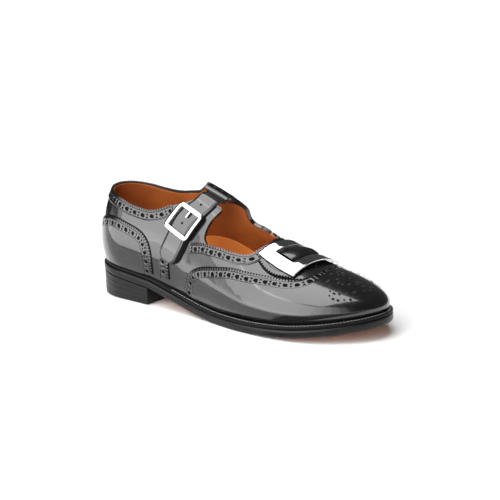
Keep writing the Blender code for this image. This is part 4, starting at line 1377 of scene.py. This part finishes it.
# s runs along the plate and t across it, both 0 to 1
plate = {
    "corners": ((0.1835, -0.365), (0.2225, -0.415), (0.2340, 0.28), (0.1995, 0.22)),
    "thick": 0.0016, "level": 0.0026, "long": 0.042, "wide": 0.036, "bow": 0.0026,
    "window": (0.21, 0.79, 0.24, 0.74), "round": 0.0007, "roundDrop": 0.0006,
    "s": ((0, .006, .015, .03, .06, .10, .14, .18, .195, .205, .21), (.24, .76, 20),
          (.79, .795, .805, .82, .86, .90, .94, .97, .985, .994, 1)),
    "t": ((0, .01, .025, .05, .10, .17, .22, .235, .24), (.28, .70, 9),
          (.74, .745, .76, .81, .88, .95, .975, .99, 1)),
}
plateLoop = {"s": (0.225, 0.775), "t": (0.21, 0.77), "stations": 30, "level": 0.0019, "arch": 0.0036,
             "archPower": 0.7, "thick": 0.0008}


def plateSpots(s, t):
    a, b, c, d = (np.array(p) for p in plate["corners"])
    s, t = (values[..., None] for values in np.meshgrid(s, t, indexing="ij"))
    return spotsOf((a * (1 - s) + d * s) * (1 - t) + (b * (1 - s) + c * s) * t).reshape(-1, 2)


def makePlate():
    # a curved plate with rounded edges and a window, and the leather that arches through it
    s, t = (np.concatenate([first, np.linspace(*middle), final])
            for first, middle, final in (plate["s"], plate["t"]))
    s0, s1, t0, t1 = plate["window"]
    long, wide = plate["long"], plate["wide"]
    edge = np.minimum(np.minimum(s, 1 - s)[:, None] * long, np.minimum(t, 1 - t)[None] * wide)
    hole = np.minimum(np.minimum(s - s0, s1 - s)[:, None] * long,
                      np.minimum(t - t0, t1 - t)[None] * wide)
    away = np.minimum(edge, np.where(hole < 0, -hole, 0))
    near = np.clip(1 - away / plate["round"], 0, 1)
    drop = plate["roundDrop"] * (1 - np.sqrt(np.clip(1 - near ** 2, 0, 1)))
    isOpen = (hole > -1e-9).ravel()
    faces = [face for face in gridFaces(len(s), len(t), True) if not isOpen[face].all()]
    spots = plateSpots(s, t)
    bow = (plate["bow"] * (1 - (2 * s - 1) ** 2)[:, None] + 0 * t[None]).ravel()
    top = onSkin(spots, plate["level"] + plate["thick"] - drop.ravel() + bow)
    points, rings = thicken(top, onSkin(spots, plate["level"] + bow), faces)
    addPiece("vamp_plate", points, rings, looks["metal"], "polished_metal", ["vamp_buckle"], 50)
    n = plateLoop["stations"]
    s, t = np.linspace(*plateLoop["s"], n), np.linspace(*plateLoop["t"], n)
    arch = np.sin(np.pi * np.clip((t - t[0]) / (t[-1] - t[0]), 0, 1))[None] ** plateLoop["archPower"]
    level = plateLoop["level"] + plate["bow"] * (1 - (2 * s - 1) ** 2)[:, None]
    level = (level + plateLoop["arch"] * arch).ravel()
    spots = plateSpots(s, t)
    points, rings = thicken(onSkin(spots, level), onSkin(spots, level - plateLoop["thick"]),
                            gridFaces(n, n, True))
    addPiece("plate_loop", points, rings, looks["upper"], "upper_leather")


# Camera, floor and light
camera = {"azimuth": 36.104, "elevation": 14.977, "roll": -0.397, "distance": 1.1979,
          "focal": 1349.97, "centre": (236.997, 261.643), "picture": 500,
          "target": (-0.00122, -0.00207, 0.045), "sensor": 36.0, "farthest": 60}


def makeCamera():
    az, el, roll = (math.radians(camera[k]) for k in ("azimuth", "elevation", "roll"))
    back = Vector((math.sin(az) * math.cos(el), -math.cos(az) * math.cos(el), math.sin(el)))
    right = Vector((math.cos(az), math.sin(az), 0.0))
    up = back.cross(right)
    turned = right * math.cos(roll) + up * math.sin(roll)
    upright = up * math.cos(roll) - right * math.sin(roll)
    data = bpy.data.cameras.new("studio_camera")
    data.sensor_width = camera["sensor"]
    data.lens = camera["focal"] / camera["picture"] * camera["sensor"]
    data.shift_x = (camera["picture"] / 2 - camera["centre"][0]) / camera["picture"]
    data.shift_y = (camera["centre"][1] - camera["picture"] / 2) / camera["picture"]
    data.clip_end = camera["farthest"]
    thing = bpy.data.objects.new("studio_camera", data)
    place = Vector(camera["target"]) + back * camera["distance"]
    turn = Matrix((turned, upright, back)).transposed()
    thing.matrix_world = Matrix.Translation(place) @ turn.to_4x4()
    bpy.context.scene.collection.objects.link(thing)
    bpy.context.scene.camera = thing


def stageLook(name, scale, shades, socket):
    # a matt surface whose grey wanders a little between two shades
    look, nodes, links, shader = newLook(name)
    place = nodes.new("ShaderNodeTexCoord").outputs["Object"]
    tone = noiseNode(nodes, links, place, scale)
    low, high = shades
    stops = [(0.0, (low, low, low)), (1.0, (high, high, high))]
    links.new(rampNode(nodes, links, tone, stops), shader.inputs[socket])
    shader.inputs["Specular IOR Level"].default_value = 0
    return look, nodes, links, shader, place


def addStage(name, corners, look):
    # one flat stage piece, which isn't part of the shoe
    mesh = bpy.data.meshes.new(name)
    mesh.from_pydata(corners, [], [(0, 1, 2, 3)])
    mesh.materials.append(look)
    thing = bpy.data.objects.new(name, mesh)
    bpy.context.scene.collection.objects.link(thing)
    return thing


floor = {"half": 30.0, "scale": 3, "shades": (0.86, 0.9), "rough": 0.9,
         "glow": (("From Min", 0.2), ("From Max", 1.1), ("To Min", 0.0), ("To Max", 0.95))}


def makeFloor():
    # pale all over: the lights reach its middle, and it glows more and more from 0.2 m to 1.1 m out
    look, nodes, links, shader, place = stageLook("white_floor", floor["scale"], floor["shades"],
                                                  "Base Color")
    shader.inputs["Roughness"].default_value = floor["rough"]
    far = nodes.new("ShaderNodeVectorMath")
    far.operation = "LENGTH"
    links.new(place, far.inputs[0])
    glow = nodes.new("ShaderNodeMapRange")
    for socket, value in floor["glow"]:
        glow.inputs[socket].default_value = value
    links.new(far.outputs["Value"], glow.inputs["Value"])
    links.new(glow.outputs["Result"], shader.inputs["Emission Strength"])
    shader.inputs["Emission Color"].default_value = (1, 1, 1, 1)
    half = floor["half"]
    addStage("studio_floor", [(-half, -half, 0), (half, -half, 0), (half, half, 0), (-half, half, 0)],
             look)


# each card: its left, right, front and back edge, and how brightly it glows
table = {
    "height": 0.001, "scale": 2, "shades": (0.94, 1.0),
    "cards": {"table_near": (-1.6, 0.06, -0.160, -0.058, 0.95),
              "table_line": (-1.6, 0.10, -0.182, -0.160, 0.05),
              "table_far": (-1.5, 0.17, -1.75, -0.182, 3.5),
              "table_side": (0.17, 1.4, -1.75, -0.160, 0.3),
              "table_toe": (0.06, 1.4, -0.160, -0.058, 0.12)},
}


def makeTable():
    # what the table round the shoe shows in the leather, in place of the evenly lit floor
    z = table["height"]
    for name, (left, right, front, back, glow) in table["cards"].items():
        look, nodes, links, shader, place = stageLook(name, table["scale"], table["shades"],
                                                      "Emission Color")
        shader.inputs["Emission Strength"].default_value = glow
        shader.inputs["Base Color"].default_value = (0, 0, 0, 1)
        corners = [(left, front, z), (right, front, z), (right, back, z), (left, back, z)]
        card = addStage(name, corners, look)
        card.visible_camera = False
        card.visible_shadow = False
        card.visible_diffuse = False


flag = {"azimuth": -112, "distance": 0.75, "wide": 1.1, "tall": 1.2, "scale": 2,
        "shades": (0.01, 0.02), "rough": 1}


def makeFlag():
    # a black card behind the heel that the leather mirrors and the camera doesn't see
    look, nodes, links, shader, place = stageLook("left_flag", flag["scale"], flag["shades"],
                                                  "Base Color")
    shader.inputs["Roughness"].default_value = flag["rough"]
    middle = Vector(aroundShoe(flag["azimuth"], flag["distance"], 0.0))
    angle = math.radians(flag["azimuth"])
    side = Vector((math.cos(angle), math.sin(angle), 0)) * flag["wide"] / 2
    up = Vector((0, 0, flag["tall"]))
    corners = [middle - side, middle + side, middle + side + up, middle - side + up]
    card = addStage("left_flag", [tuple(corner) for corner in corners], look)
    card.visible_camera = False
    card.visible_shadow = False


def panelLight(name, middle, facing, size, radiance):
    # a flat soft box at a point, turned to face another, with the brightness that it shows
    data = bpy.data.lights.new(name, "AREA")
    data.shape = "RECTANGLE"
    data.size, data.size_y = size
    data.energy = radiance * math.pi * size[0] * size[1]
    thing = bpy.data.objects.new(name, data)
    thing.location = middle
    aim = Vector(middle) - Vector(facing)
    thing.rotation_euler = aim.to_track_quat("Z", "Y").to_euler()
    thing.visible_camera = False
    bpy.context.scene.collection.objects.link(thing)


def aroundShoe(azimuth, distance, height):
    # a point near the shoe: azimuth 0 is straight out from its lateral side, the toe's side positive
    angle = math.radians(azimuth)
    return (math.sin(angle) * distance, -math.cos(angle) * distance, height)


softBoxes = {
    "height": 1.15,
    # azimuth, distance, size and radiance
    "left_box": (-18, 1.7, (1.5, 2.3), 3.9), "left_edge": (-46, 1.85, (0.22, 2.3), 1.8),
    "sideStart": 0.76, "sideCount": 5, "sideSize": (0.35, 2.3), "sideFirst": 2, "sideTurn": 12,
    "sideRadiance": 3.6, "sideFade": 0.75,
    "topMiddle": (-0.3, -0.56, 2.6), "topFacing": (-0.3, -0.56, 0.0), "topSize": (2.4, 2.62),
    "topRadiance": 4.0,
}


def makeLights():
    # a tall soft box that fades toward the toe in five more, and a wide one overhead
    height = softBoxes["height"]
    for name in ("left_box", "left_edge"):
        azimuth, distance, size, radiance = softBoxes[name]
        panelLight(name, aroundShoe(azimuth, distance, height), aroundShoe(azimuth, 0, height), size,
                   radiance)
    azimuth, distance = softBoxes["left_box"][:2]
    angle = math.radians(azimuth)
    corner = Vector(aroundShoe(azimuth, distance, height))
    corner += Vector((math.cos(angle), math.sin(angle), 0)) * softBoxes["sideStart"]
    for k in range(softBoxes["sideCount"]):
        angle = math.radians(softBoxes["sideFirst"] + softBoxes["sideTurn"] * k)
        along = Vector((math.cos(angle), math.sin(angle), 0)) * softBoxes["sideSize"][0]
        middle = corner + along / 2
        facing = middle + Vector((-math.sin(angle), math.cos(angle), 0))
        panelLight("side_box_" + str(k + 1), middle, facing, softBoxes["sideSize"],
                   softBoxes["sideRadiance"] - softBoxes["sideFade"] * k)
        corner = corner + along
    panelLight("top_box", softBoxes["topMiddle"], softBoxes["topFacing"], softBoxes["topSize"],
               softBoxes["topRadiance"])


# greys of the room by height, from the horizon up
room = {"stops": ((0.0, 1), (0.05, 0.8), (0.12, 0.08), (1.0, 0.06)), "strength": 1.0}


def makeWorld():
    world = bpy.data.worlds.new("studio_world")
    world.use_nodes = True
    nodes, links = world.node_tree.nodes, world.node_tree.links
    shader = nodes["Background"]
    height = nodes.new("ShaderNodeSeparateXYZ")
    links.new(nodes.new("ShaderNodeTexCoord").outputs["Generated"], height.inputs["Vector"])
    stops = [(at, (grey, grey, grey)) for at, grey in room["stops"]]
    links.new(rampNode(nodes, links, height.outputs["Z"], stops), shader.inputs["Color"])
    shader.inputs["Strength"].default_value = room["strength"]
    bpy.context.scene.world = world


stages = (
    ("camera, floor and light", (makeCamera, makeFlag, makeTable, makeFloor, makeWorld, makeLights)),
    ("sole and heel", (makeSole, makeWelt, makeHeel, makeInsole)),
    ("upper and trims", (makeUpper, makeBands, makeTrims, makeEyelets, makeWeltStitches)),
    ("strap, buckles and tab", (makeStrap, makeStrapShade, makeStrapHoles, makeBuckle, makeTab,
                                makeTabEdge, makePlate)),
)
for stage, makers in stages:
    print("Stage:", stage)
    for make in makers:
        make()
bpy.context.scene.view_settings.view_transform = "Standard"
